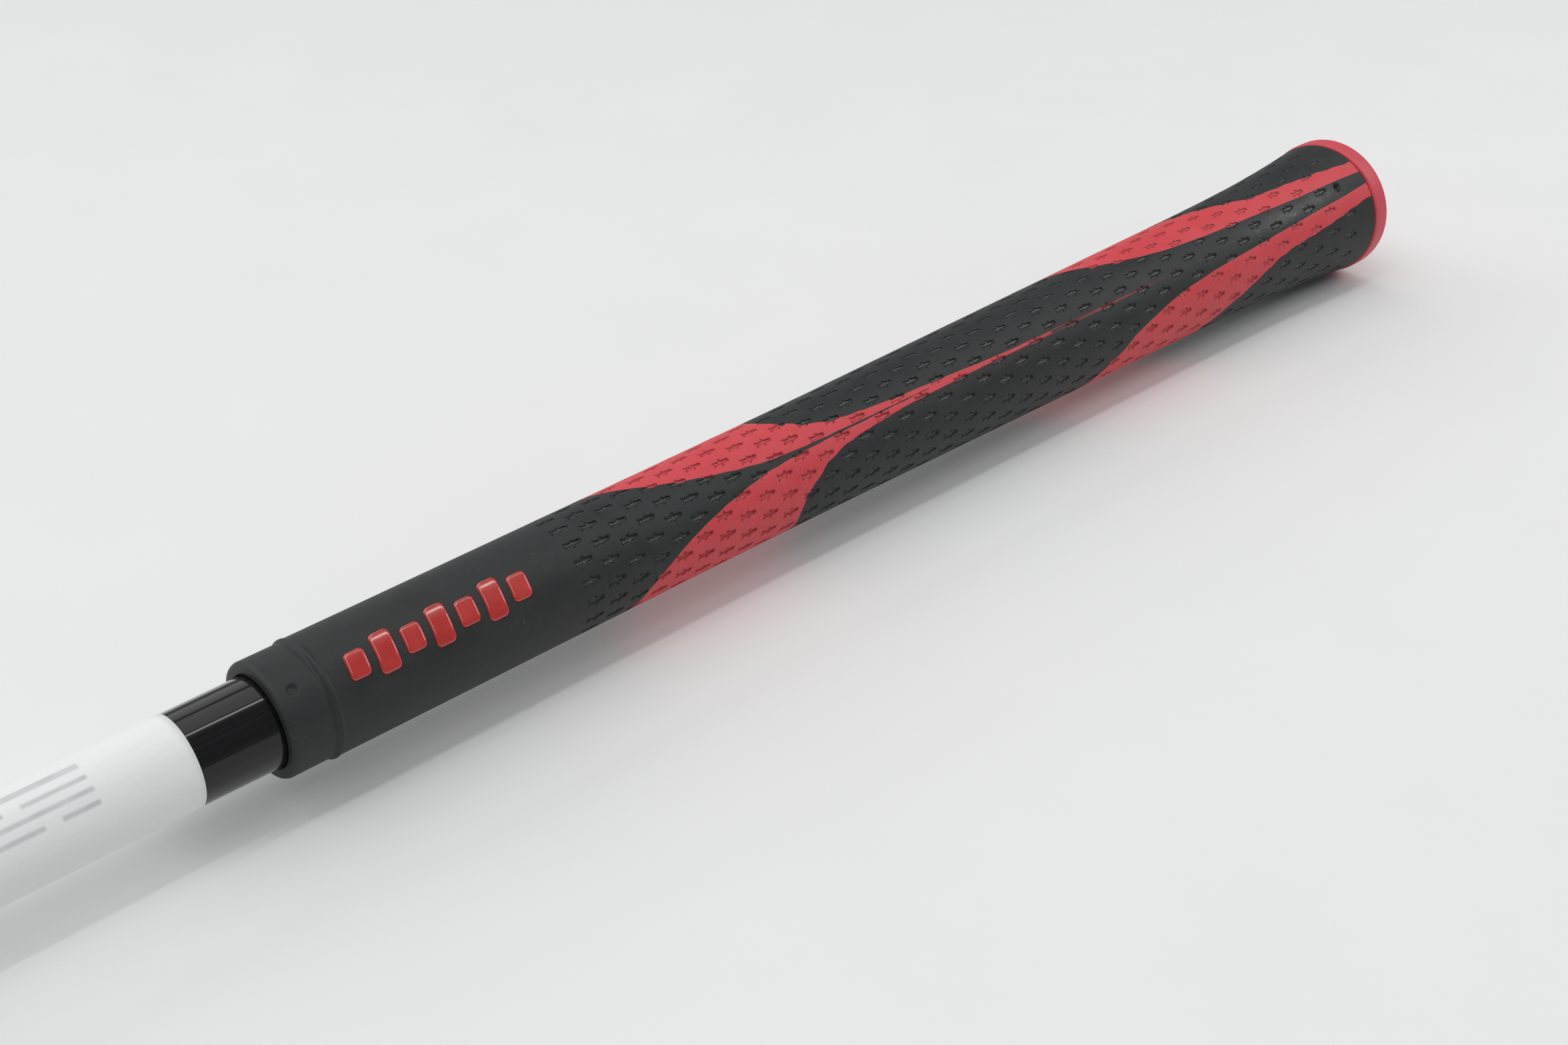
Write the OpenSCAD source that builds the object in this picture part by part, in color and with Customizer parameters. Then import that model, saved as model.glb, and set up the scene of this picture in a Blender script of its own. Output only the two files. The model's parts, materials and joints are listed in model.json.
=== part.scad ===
// Golf driver: adjustable carbon-crown head, graphite shaft and moulded rubber grip.
// The club frame has +X along the shaft towards the butt, +Y towards the back of the head and
// +Z towards the top of the grip at address. place() then lays the club down as it rests.

/* [Club] */
// Length from the ground point of the shaft axis to the butt end
club_length = 1150; // [1100:1:1180]
// Lie angle between shaft and ground at address, degrees
lie = 59; // [56:0.5:62]
// Turn of the grip pattern about the shaft, degrees
grip_roll = -46.5; // [-180:0.5:180]

/* [Grip] */
// Grip length with its end piece
grip_length = 268; // [255:1:280]
// Thickness of the end piece
end_thick = 4.5; // [3:0.5:6]
// Radius of the end piece
end_r = 14.2; // [13.9:0.1:16]
// Radius of the collar at the mouth
collar_r = 9.25; // [8.9:0.05:9.6]
// Radius of the vent hole in the end piece
vent_r = 1.5; // [1:0.1:2]
// Height of the raised mark
mark_raise = 0.4; // [0.2:0.05:0.6]

/* [Shaft] */
// Radius of the shaft at the butt
shaft_butt_r = 7.6; // [7.4:0.05:7.7]
// Radius of the shaft at the grip mouth
shaft_mouth_r = 7.3; // [7.1:0.05:7.4]
// Radius of the parallel tip
shaft_tip_r = 4.25; // [4.2:0.05:4.5]
// Wall of the shaft
shaft_wall = 1.1; // [0.8:0.1:1.5]
// Length of the paper label
label_length = 120; // [60:5:160]
// Bare shaft between grip mouth and label
label_gap = 13; // [5:1:40]

/* [Head] */
// Reach of the head from the face centre to the toe
toe_reach = 60; // [56:1:63]
// Reach of the head from the face centre to the heel
heel_reach = 62; // [58:1:64]
// Depth from leading edge to the back
head_depth = 115; // [105:1:120]
// Height of the crown above the ground
head_height = 60; // [56:0.5:63]
// Loft of the face, degrees
loft = 10.5; // [8:0.5:13]
// Radius of face bulge and roll
face_radius = 300; // [250:10:350]
// Titanium wall
body_wall = 1.2; // [1:0.1:1.6]
// Carbon panel wall
panel_wall = 0.9; // [0.7:0.1:1]
// Face plate wall
face_wall = 2.8; // [2.2:0.1:3.4]

/* [Hosel] */
// Outer radius of the hosel
hosel_r = 6.85; // [6.7:0.05:7]
// Radius of the hosel bore
hosel_bore_r = 5.05; // [5.02:0.01:5.1]
// Top of the hosel above the ground point, along the shaft
hosel_top = 72; // [68:1:76]

/* [Weights] */
// Radius of the front weight
front_r = 8; // [7:0.5:9]
// Height of the front weight
front_h = 4.5; // [4:0.5:6]
// Radius of the rear weight
rear_r = 10; // [8:0.5:11]
// Height of the rear weight
rear_h = 6; // [5:0.5:7]

/* [Hidden] */
$fn = 96;
eps = 0.05;
gap = 0.03;

// Resting pose: roll about the shaft, then pitch, then a shift onto the floor
rest_roll = 88.9;
rest_pitch = 0.1;
rest_shift = [-560.39, 37.02, 16.2];

// Shaft and grip stations, measured along +X from the ground point
mouth_x = club_length - grip_length;
end_wall = 3.5;
shaft_butt_x = club_length - end_thick - end_wall;
shaft_tip_x = 46;
tip_parallel_end = 120;
tape_t = 0.15;
label_t = 0.12;
label_x1 = mouth_x - label_gap;

// Grip outline as [distance from the butt, radius]
grip_line = [
    [end_thick, end_r - 0.2], [8, 13.65], [12, 13.25], [18, 12.8], [25, 12.3], [35, 11.9], [45, 11.65],
    [70, 11.3], [100, 10.85], [130, 10.4], [160, 9.95], [190, 9.75], [220, 9.65],
    [250, 9.55], [259, 9.5], [259.5, 9.05], [261, 9.05], [261.5, collar_r],
    [grip_length - 0.6, collar_r], [grip_length, collar_r - 0.5]
];
function grip_r(s) = lookup(s, grip_line);
function shaft_r(x) = lookup(x, [
    [shaft_tip_x, shaft_tip_r],
    [tip_parallel_end, shaft_tip_r],
    [mouth_x, shaft_mouth_r],
    [shaft_butt_x, shaft_butt_r]
]);

// Hosel stations along the shaft axis
screw_seat = 14;
seat_thick = 3;
sleeve_x0 = 20;
sleeve_floor = 44;
ring_h = 3;
collar_h = 6;
ferrule_h = 16;
lug_h = 1.6;
lug_w = 2.0;
lug_count = 4;
sleeve_r = hosel_bore_r - 0.05;
insert_r = 3.5;
screw_r = 2.5;
screw_head_r = 4.2;
screw_head_h = 4.6;
screw_length = 20;
thread_pitch = 0.8;

// Head surface, in the head frame: x to the toe, b to the back, z up from the ground
apex = [-2, 38];
front_overrun = 22;
skirt_z = 28;
skirt_rise = 2;
crown_round = [2.0, 1.6];
sole_round = [2.4, 1.7];
face_center_z = 29;
face_set_back = 3.2;
face_edge = 2.5;
hosel_x0 = -28;
hosel_b = 17;
blend_h = 13;
blend_w = 11;
blend_from = 8;
blend_run = 24;
outline_front = 2.2;
outline_back = 2.15;

// Height angles of the panel edges, at the back and at the front of the head
pole_psi = 87;
low_psi = -82;
crown_edge = [14, 65];
face_top = [9, 47];
face_bottom = [-8, -46];
sole_edge = [-22, -62];

// Grid of the head surface: columns round it, rows in each band and the columns of each panel
phi_n = 48;
rows = [8, 2, 8, 2, 6, 2];
face_cols = [31, 40];
toe_cols = [-2, 9];
heel_cols = [14, 25];

// Sole hardware as direction about the apex, height angle and depth below the skin
front_port = [270, -75, 0.3];
rear_port = [90, -34, 0.6];
sole_exit = [216, -61, 0.2];
port_wall = 1.6;
port_floor = 6;
weight_screw_r = 2;
weight_head_r = 3.4;
weight_head_h = 2.4;
weight_fit = 0.15;

// Raised generic mark: a row of blocks of changing height, near the mouth
mark_s = [223, 257];
mark_mid = 250;
mark_heights = [4.4, 6.6, 4.4, 6.6, 4.4, 6.6, 4.4];
mark_gap = 1.4;

function smooth(t) = let (u = min(1, max(0, t))) u * u * (3 - 2 * u);
function mix(a, b, t) = a + (b - a) * t;
function smax(a, b, k) = (a + b + sqrt((a - b) * (a - b) + k * k)) / 2;

// Outline radius about the apex
function outline_r(phi) =
    let (
        c = abs(cos(phi)),
        s = abs(sin(phi)),
        rx = cos(phi) > 0 ? toe_reach - apex[0] : heel_reach + apex[0],
        rb = sin(phi) > 0 ? head_depth - apex[1] : apex[1] + front_overrun,
        n = sin(phi) > 0 ? outline_back : outline_front
    )
    pow(pow(c / rx, n) + pow(s / rb, n), -1 / n);

// Face surface: distance behind the leading edge
function face_b(x, z) =
    face_set_back + (z - face_center_z) * tan(loft)
    + (x * x + pow(z - face_center_z, 2)) / (2 * face_radius);

// A vector and a point of the head frame, in the club frame
function hv(x, b, z) = [-cos(lie) * x + sin(lie) * z, b, sin(lie) * x + cos(lie) * z];
function hp(x, b, z) = hv(x - hosel_x0, b - hosel_b, z);

// Swelling of the surface around the hosel axis, which grows with height along it
function blend(p) =
    let (
        d = norm([p[1], p[2]]),
        share = smooth((p[0] - blend_from) / blend_run)
    )
    p + [blend_h * share * exp(-pow(d / blend_w, 2)), 0, 0];

// Point of the outer surface; psi is 90 at the crown apex and -90 at the sole
function skin(phi, psi) =
    let (
        up = psi >= 0,
        round_nm = up ? crown_round : sole_round,
        r = pow(cos(psi), 2 / round_nm[0]),
        h = pow(abs(sin(psi)), 2 / round_nm[1]),
        lift = up ? (head_height - skirt_z) * h : -skirt_z * h,
        radius = r * outline_r(phi),
        x = apex[0] + radius * cos(phi),
        z = skirt_z + skirt_rise * sin(phi) * r * cos(psi) + lift,
        b = smax(apex[1] + radius * sin(phi), face_b(x, z), face_edge)
    )
    blend(hp(x, b, z));
function skin_normal(phi, psi) =
    let (
        d = 0.5,
        a = skin(phi + d, psi) - skin(phi - d, psi),
        b = skin(phi, psi + d) - skin(phi, psi - d),
        n = cross(b, a)
    )
    n / norm(n);

// Panel edges, which the grid rows follow round the head
function front_share(phi) = smooth((-sin(phi) + 0.15) / 0.75);
function edges(phi) =
    let (w = front_share(phi))
    [
        pole_psi,
        mix(crown_edge[0], crown_edge[1], w),
        mix(face_top[0], face_top[1], w),
        mix(face_bottom[0], face_bottom[1], w),
        mix(sole_edge[0], sole_edge[1], w),
        low_psi,
        -pole_psi
    ];
row_psi_count = rows[0] + rows[1] + rows[2] + rows[3] + rows[4] + rows[5];
function row_start(k) = k == 0 ? 0 : row_start(k - 1) + rows[k - 1];
function row_band(j) = max([for (k = [0:5]) if (j >= row_start(k)) k]);
function row_psi(phi, j) =
    let (
        k = min(5, row_band(j)),
        e = edges(phi)
    )
    mix(e[k], e[k + 1], (j - row_start(k)) / rows[k]);

// Which panel each cell of the grid belongs to
function in_cols(i, c) = (i >= c[0] && i <= c[1]) || (i - phi_n >= c[0] && i - phi_n <= c[1]);
function cell_owner(i, j) =
    j < 0 ? "crown_panel" :
    j >= row_psi_count ? "head_body" :
    row_band(j) == 0 ? "crown_panel" :
    row_band(j) == 2 && in_cols(i, face_cols) ? "face_insert" :
    row_band(j) == 4 && in_cols(i, toe_cols) ? "sole_panel_toe" :
    row_band(j) == 4 && in_cols(i, heel_cols) ? "sole_panel_heel" : "head_body";

// One panel: its outer skin, its inner skin and the walls between them, as a closed solid
module panel(owner, wall) {
    ring = phi_n;
    rings = row_psi_count + 1;
    layer = ring * rings + 2;
    angles = [for (j = [0:rings - 1], i = [0:ring - 1])
        let (phi = i * 360 / ring) [phi, row_psi(phi, j)]];
    outer = concat(
        [for (a = angles) skin(a[0], a[1])],
        [skin(0, 89.99), skin(0, -89.99)]
    );
    inner = concat(
        [for (a = angles) skin(a[0], a[1]) - wall * skin_normal(a[0], a[1])],
        [outer[layer - 2] - wall * hv(0, 0, 1), outer[layer - 1] + wall * hv(0, 0, 1)]
    );
    function v(i, j, l) =
        l * layer + (j < 0 ? layer - 2 : j >= rings ? layer - 1 : j * ring + (i + ring) % ring);
    own = [for (j = [-1:rings - 1]) [for (i = [0:ring - 1]) cell_owner(i, j) == owner]];
    function mine(i, j) = j >= -1 && j < rings && own[j + 1][(i + ring) % ring];
    cells = [for (j = [-1:rings - 1], i = [0:ring - 1]) if (mine(i, j)) [i, j]];
    skins = [for (c = cells)
        let (
            i = c[0],
            j = c[1],
            out = j < 0 ? [[v(i + 1, 0, 0), v(0, -1, 0), v(i, 0, 0)]] :
                j == rings - 1 ? [[v(0, rings, 0), v(i + 1, j, 0), v(i, j, 0)]] :
                [
                    [v(i, j + 1, 0), v(i + 1, j + 1, 0), v(i + 1, j, 0)],
                    [v(i, j + 1, 0), v(i + 1, j, 0), v(i, j, 0)]
                ]
        )
        each concat(out, [for (t = out) [t[2] + layer, t[1] + layer, t[0] + layer]])];
    function wall_faces(a, b) = [[a, b, b + layer], [a, b + layer, a + layer]];
    walls = [for (c = cells)
        let (i = c[0], j = c[1])
        each concat(
            j >= 0 && j < rings - 1 && !mine(i + 1, j)
                ? wall_faces(v(i + 1, j, 0), v(i + 1, j + 1, 0)) : [],
            j >= 0 && j < rings - 1 && !mine(i - 1, j)
                ? wall_faces(v(i, j + 1, 0), v(i, j, 0)) : [],
            j >= 0 && !mine(i, j - 1) ? wall_faces(v(i, j, 0), v(i + 1, j, 0)) : [],
            j < rings - 1 && !mine(i, j + 1) ? wall_faces(v(i + 1, j + 1, 0), v(i, j + 1, 0)) : []
        )];
    polyhedron(points = concat(outer, inner), faces = concat(skins, walls), convexity = 8);
}

// Lay the club down as it rests
module place() {
    translate(rest_shift) rotate([0, rest_pitch, 0]) rotate([rest_roll, 0, 0]) children();
}
// Turn a shape drawn along +Z so that it lies along the shaft
module along_shaft(x = 0) {
    translate([x, 0, 0]) rotate([0, 90, 0]) children();
}
// Solid of revolution about the shaft axis from [x, radius] points
module revolve(points) {
    rotate([0, 90, 0]) rotate_extrude() polygon([for (p = points) [p[1], p[0]]]);
}

// Sole hardware: a frame on the sole with +Z outwards and +X towards the toe, sunk by a depth
module at_port(port) {
    ez = skin_normal(port[0], port[1]);
    p = skin(port[0], port[1]) - port[2] * ez;
    side = hv(1, 0, 0) - (hv(1, 0, 0) * ez) * ez;
    ex = side / norm(side);
    ey = cross(ez, ex);
    multmatrix([
        [ex[0], ey[0], ez[0], p[0]],
        [ex[1], ey[1], ez[1], p[1]],
        [ex[2], ey[2], ez[2], p[2]],
        [0, 0, 0, 1]
    ]) children();
}
// A screw with its head outwards at z = 0 and its shank towards -z
module screw(head_r, head_h, shank_r, shank_l, socket_r, socket_d) {
    turns = floor((shank_l - 2) / thread_pitch);
    root = shank_r - 0.45;
    teeth = [for (k = [0:turns - 1]) let (z = -head_h - shank_l + 0.6 + k * thread_pitch)
        each [[root, z], [shank_r, z + thread_pitch / 2]]];
    difference() {
        rotate_extrude() polygon(concat(
            [[0, 0], [0, -head_h - shank_l], [root - 0.3, -head_h - shank_l]],
            teeth,
            [[root, -head_h], [head_r, -head_h], [head_r, -0.4], [head_r - 0.4, 0]]
        ));
        translate([0, 0, -socket_d]) cylinder(r = socket_r, h = socket_d + 1, $fn = 6);
    }
}
module weight_puck(r, h) {
    difference() {
        rotate_extrude() polygon([
            [0, -h], [r - 0.4, -h], [r, -h + 0.4], [r, -0.5], [r - 0.5, 0], [0, 0]
        ]);
        translate([0, 0, -h - 1]) cylinder(r = weight_screw_r + weight_fit, h = h + 2);
        translate([0, 0, -weight_head_h - 0.2])
            cylinder(r = weight_head_r + weight_fit, h = weight_head_h + 2);
    }
}
module weight_port(r, h) {
    difference() {
        translate([0, 0, -h - port_floor]) cylinder(r = r + port_wall, h = h + port_floor);
        translate([0, 0, -h]) cylinder(r = r + weight_fit, h = h + 1);
        translate([0, 0, -h - port_floor - 1]) cylinder(r = weight_screw_r + 0.05, h = port_floor + 2);
    }
}
module port_cut(port, r, h) {
    depth = h + port_floor + 3;
    at_port(port) translate([0, 0, -depth]) cylinder(r = r + port_wall + gap, h = depth + 9, $fn = 48);
}

module grip_sleeve() {
    place() color([0.16, 0.165, 0.17]) difference() {
        revolve(concat(
            [[club_length - end_thick, 0]],
            [for (p = grip_line) [club_length - p[0], p[1]]],
            [[mouth_x, 0]]
        ));
        revolve([
            [mouth_x - 1, 0], [mouth_x - 1, shaft_mouth_r + tape_t + gap],
            [mouth_x, shaft_mouth_r + tape_t + gap],
            [shaft_butt_x, shaft_butt_r + tape_t + gap], [shaft_butt_x, 0]
        ]);
        along_shaft(shaft_butt_x - 1) cylinder(r = vent_r + 0.7, h = end_wall + 3);
    }
}
module grip_end() {
    place() color([0.8, 0.2, 0.26]) difference() {
        revolve([
            [club_length - end_thick, 0], [club_length - end_thick, end_r - 0.3],
            [club_length - end_thick + 0.3, end_r], [club_length - 0.9, end_r],
            [club_length - 0.25, end_r - 0.3], [club_length, end_r - 1.1], [club_length, 0]
        ]);
        along_shaft(club_length - end_thick - 1) cylinder(r = vent_r, h = end_thick + 2);
    }
}
module grip_mark() {
    s0 = mark_s[0] - 1;
    s1 = mark_s[1] + 1;
    blocks = len(mark_heights);
    pitch = (mark_s[1] - mark_s[0]) / blocks;
    place() rotate([grip_roll, 0, 0]) color([0.75, 0.16, 0.14]) intersection() {
        revolve([
            [club_length - s1, grip_r(s1)], [club_length - s1, grip_r(s1) + mark_raise],
            [club_length - mark_mid, grip_r(mark_mid) + mark_raise],
            [club_length - s0, grip_r(s0) + mark_raise], [club_length - s0, grip_r(s0)],
            [club_length - mark_mid, grip_r(mark_mid)]
        ]);
        union() for (k = [0:blocks - 1])
            translate([club_length - mark_s[0] - (k + 0.5) * pitch, 0, 5])
                linear_extrude(10) square([pitch - mark_gap, mark_heights[k]], center = true);
    }
}
module grip_tape() {
    x0 = mouth_x + 3;
    x1 = shaft_butt_x - 3;
    place() color([0.85, 0.8, 0.62]) revolve([
        [x0, shaft_r(x0) + 0.01], [x0, shaft_r(x0) + tape_t],
        [x1, shaft_r(x1) + tape_t], [x1, shaft_r(x1) + 0.01]
    ]);
}

module shaft() {
    x2 = tip_parallel_end;
    place() color([0.05, 0.05, 0.055]) revolve([
        [shaft_tip_x, shaft_tip_r], [x2, shaft_tip_r], [mouth_x, shaft_mouth_r],
        [shaft_butt_x - 0.05, shaft_butt_r], [shaft_butt_x - 0.05, shaft_butt_r - shaft_wall],
        [mouth_x, shaft_mouth_r - shaft_wall], [x2, shaft_tip_r - shaft_wall - 0.6],
        [shaft_tip_x, shaft_tip_r - shaft_wall - 0.6]
    ]);
}
module shaft_label() {
    x0 = label_x1 - label_length;
    place() color([0.9, 0.905, 0.9]) revolve([
        [x0, shaft_r(x0) + 0.01], [x0, shaft_r(x0) + label_t],
        [label_x1, shaft_r(label_x1) + label_t], [label_x1, shaft_r(label_x1) + 0.01]
    ]);
}
module ferrule() {
    x0 = hosel_top + ring_h + collar_h + gap;
    bore = shaft_tip_r + 0.05;
    place() color([0.06, 0.06, 0.065]) revolve([
        [x0, bore], [x0, hosel_r], [x0 + 3, hosel_r - 0.1], [x0 + 9, hosel_r - 1],
        [x0 + ferrule_h, shaft_tip_r + 0.5], [x0 + ferrule_h, bore]
    ]);
}
module hosel_sleeve() {
    x1 = hosel_top + ring_h;
    bore = shaft_tip_r + 0.05;
    place() color([0.35, 0.36, 0.38]) revolve([
        [sleeve_x0, insert_r], [sleeve_x0, sleeve_r - 0.4], [sleeve_x0 + 0.4, sleeve_r],
        [x1 + gap, sleeve_r], [x1 + gap, hosel_r], [x1 + collar_h, hosel_r], [x1 + collar_h, bore],
        [shaft_tip_x - gap, bore], [shaft_tip_x - gap, 0], [sleeve_floor, 0], [sleeve_floor, insert_r]
    ]);
}
module thread_insert() {
    place() color([0.75, 0.6, 0.25]) revolve([
        [sleeve_x0 + 1, screw_r + 0.05], [sleeve_x0 + 1, insert_r - 0.01],
        [sleeve_floor - 3, insert_r - 0.01], [sleeve_floor - 3, screw_r + 0.05]
    ]);
}
// Lugs between the ring and the top of the hosel
module lugs(width, height, x) {
    for (k = [0:lug_count - 1]) rotate([k * 360 / lug_count, 0, 0])
        translate([x, -width / 2, hosel_bore_r + 0.15])
            cube([height, width, hosel_r - hosel_bore_r - 0.35]);
}
module adjust_ring() {
    place() color([0.6, 0.61, 0.63]) union() {
        revolve([
            [hosel_top + gap, sleeve_r + gap], [hosel_top + gap, hosel_r],
            [hosel_top + ring_h, hosel_r], [hosel_top + ring_h, sleeve_r + gap]
        ]);
        lugs(lug_w, lug_h + eps, hosel_top - lug_h + gap);
    }
}
module hosel_screw() {
    place() along_shaft(screw_seat - 1 - screw_head_h) rotate([180, 0, 0])
        color([0.55, 0.56, 0.58])
            screw(screw_head_r, screw_head_h, screw_r, screw_length, 2.0, 2.4);
}
module screw_washer() {
    place() color([0.12, 0.12, 0.13]) revolve([
        [screw_seat - 1 + 0.02, screw_r + 0.1], [screw_seat - 1 + 0.02, screw_head_r],
        [screw_seat - 0.02, screw_head_r], [screw_seat - 0.02, screw_r + 0.1]
    ]);
}
// Everything beneath the sole plane at the screw opening
module below_sole() {
    at_port(sole_exit) translate([-30, -30, 0]) cube([60, 60, 30]);
}
module hosel_tube() {
    place() color([0.4, 0.41, 0.43]) difference() {
        along_shaft() cylinder(r = hosel_r, h = hosel_top);
        along_shaft(screw_seat + seat_thick) cylinder(r = hosel_bore_r, h = hosel_top);
        along_shaft(-1) cylinder(r = screw_r + 0.3, h = hosel_top);
        along_shaft(-1) cylinder(r = screw_head_r + 0.7, h = screw_seat + 1);
        below_sole();
        for (k = [0:lug_count - 1]) rotate([k * 360 / lug_count, 0, 0])
            translate([hosel_top - lug_h - 0.1, -lug_w / 2 - 0.15, hosel_bore_r - 0.5])
                cube([5, lug_w + 0.3, 5]);
    }
}

module head_body() {
    place() color([0.09, 0.09, 0.1]) resize([0, 0, 0]) difference() {
        panel("head_body", body_wall);
        along_shaft(-5) cylinder(r = hosel_r + gap, h = 85, $fn = 48);
        port_cut(front_port, front_r, front_h);
        port_cut(rear_port, rear_r, rear_h);
    }
}
module face_insert() {
    place() color([0.2, 0.2, 0.21]) panel("face_insert", face_wall);
}
module crown_panel() {
    place() color([0.04, 0.04, 0.045]) panel("crown_panel", panel_wall);
}
module sole_panel_toe() {
    place() color([0.07, 0.07, 0.075]) panel("sole_panel_toe", panel_wall);
}
module sole_panel_heel() {
    place() color([0.07, 0.07, 0.075]) panel("sole_panel_heel", panel_wall);
}

module front_weight() {
    place() at_port(front_port) color([0.5, 0.5, 0.52]) weight_puck(front_r, front_h);
}
module front_weight_screw() {
    place() at_port(front_port) color([0.6, 0.6, 0.62])
        screw(weight_head_r, weight_head_h, weight_screw_r, front_h + 3, 1.5, 1.6);
}
module front_weight_port() {
    place() at_port(front_port) color([0.3, 0.3, 0.31]) weight_port(front_r, front_h + 0.1);
}
module rear_weight() {
    place() at_port(rear_port) color([0.5, 0.5, 0.52]) weight_puck(rear_r, rear_h);
}
module rear_weight_screw() {
    place() at_port(rear_port) color([0.6, 0.6, 0.62])
        screw(weight_head_r, weight_head_h, weight_screw_r, rear_h + 3, 1.5, 1.6);
}
module rear_weight_port() {
    place() at_port(rear_port) color([0.3, 0.3, 0.31]) weight_port(rear_r, rear_h + 0.1);
}

grip_sleeve();
grip_end();
grip_mark();
grip_tape();
shaft();
shaft_label();
ferrule();
hosel_sleeve();
thread_insert();
adjust_ring();
hosel_screw();
screw_washer();
hosel_tube();
head_body();
face_insert();
crown_panel();
sole_panel_toe();
sole_panel_heel();
front_weight();
front_weight_screw();
front_weight_port();
rear_weight();
rear_weight_screw();
rear_weight_port();
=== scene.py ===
import json
import math

import bmesh
import bpy
import numpy as np
from mathutils import Matrix, Vector


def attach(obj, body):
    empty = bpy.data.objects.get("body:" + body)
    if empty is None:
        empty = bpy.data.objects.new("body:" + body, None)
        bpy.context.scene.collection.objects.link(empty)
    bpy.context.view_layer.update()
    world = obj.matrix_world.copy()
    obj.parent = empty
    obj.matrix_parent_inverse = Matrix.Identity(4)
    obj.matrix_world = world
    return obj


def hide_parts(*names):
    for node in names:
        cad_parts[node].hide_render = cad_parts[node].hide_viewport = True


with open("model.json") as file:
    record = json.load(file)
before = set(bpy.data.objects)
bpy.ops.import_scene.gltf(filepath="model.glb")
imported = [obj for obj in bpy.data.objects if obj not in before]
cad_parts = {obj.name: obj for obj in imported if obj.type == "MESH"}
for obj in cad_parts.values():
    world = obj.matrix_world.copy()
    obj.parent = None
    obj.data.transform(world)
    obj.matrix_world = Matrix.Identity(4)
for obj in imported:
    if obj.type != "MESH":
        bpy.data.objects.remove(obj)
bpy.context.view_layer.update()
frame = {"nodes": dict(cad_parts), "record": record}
MM = 0.001

# --------------------
# The club frame: +X along the shaft to the butt, +Y to the back of the head, +Z to the top of
# the grip at address. Shapes are worked out in it in millimetres, then laid down at rest.
# --------------------
CLUB_LENGTH = 1150.0
LIE = math.radians(59)
REST_ROLL = math.radians(88.9)
GRIP_ROLL = math.radians(-46.5)
SCREW_SEAT = 14.0

JOINTS = {j["name"]: j for j in frame["record"]["behaviour"]["joints"]}
SHAFT_AXIS = Vector(JOINTS["shaft_lift"]["axis"]).normalized()
GROUND_POINT = Vector(JOINTS["hosel_screw_turn"]["pos_m"]) - SHAFT_AXIS * SCREW_SEAT * MM
REST_TURN = (
    Matrix.Rotation(math.asin(-SHAFT_AXIS.z), 3, "Y") @ Matrix.Rotation(REST_ROLL, 3, "X")
)
REST = np.array(REST_TURN)


def lay(points):
    """Club-frame points in millimetres, as they rest, in metres."""
    return np.asarray(points) @ REST.T * MM + np.array(GROUND_POINT)


def smooth_step(t):
    t = np.clip(t, 0, 1)
    return t * t * (3 - 2 * t)


def make_mesh(name, points, faces, material, smooth=True):
    """A new object from club-frame points and faces."""
    mesh = bpy.data.meshes.new(name)
    mesh.from_pydata(lay(points).tolist(), [], [tuple(f) for f in faces])
    mesh.validate()
    mesh.materials.append(material)
    obj = bpy.data.objects.new(name, mesh)
    bpy.context.scene.collection.objects.link(obj)
    bm = bmesh.new()
    bm.from_mesh(mesh)
    bmesh.ops.remove_doubles(bm, verts=bm.verts, dist=1e-7)
    bmesh.ops.recalc_face_normals(bm, faces=bm.faces)
    bm.to_mesh(mesh)
    bm.free()
    if smooth:
        mesh.shade_smooth()
    return obj


def add_floats(obj, name, values):
    """A float attribute on the points of an object."""
    layer = obj.data.attributes.new(name, "FLOAT", "POINT")
    layer.data.foreach_set("value", np.asarray(values, dtype=np.float32))


def add_vectors(obj, name, values):
    layer = obj.data.attributes.new(name, "FLOAT_VECTOR", "POINT")
    layer.data.foreach_set("vector", np.asarray(values, dtype=np.float32).ravel())


def piece(obj, body, slot, *nodes):
    """Hook a finished piece to its body and hide the CAD nodes it stands for; the slot argument is not
    used.
    """
    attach(obj, body)
    if nodes:
        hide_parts(*nodes)
    return obj


# --------------------
# Camera: the photograph's viewing angle, set out from the butt of the grip
# --------------------
BUTT = GROUND_POINT + SHAFT_AXIS * CLUB_LENGTH * MM
CAMERA_FROM_BUTT = Vector((-0.3820, -0.2296, 0.1892))
CAMERA_YAW = math.radians(43.534)
CAMERA_PITCH = math.radians(32.28)
CAMERA_LENS = 49.16


def make_camera():
    data = bpy.data.cameras.new("camera")
    data.lens = CAMERA_LENS
    data.sensor_width = 36
    data.clip_start = 0.01
    data.clip_end = 20
    camera = bpy.data.objects.new("camera", data)
    camera.location = BUTT + CAMERA_FROM_BUTT
    camera.rotation_euler = (math.pi / 2 - CAMERA_PITCH, 0, -CAMERA_YAW)
    bpy.context.scene.collection.objects.link(camera)
    bpy.context.scene.camera = camera


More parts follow.
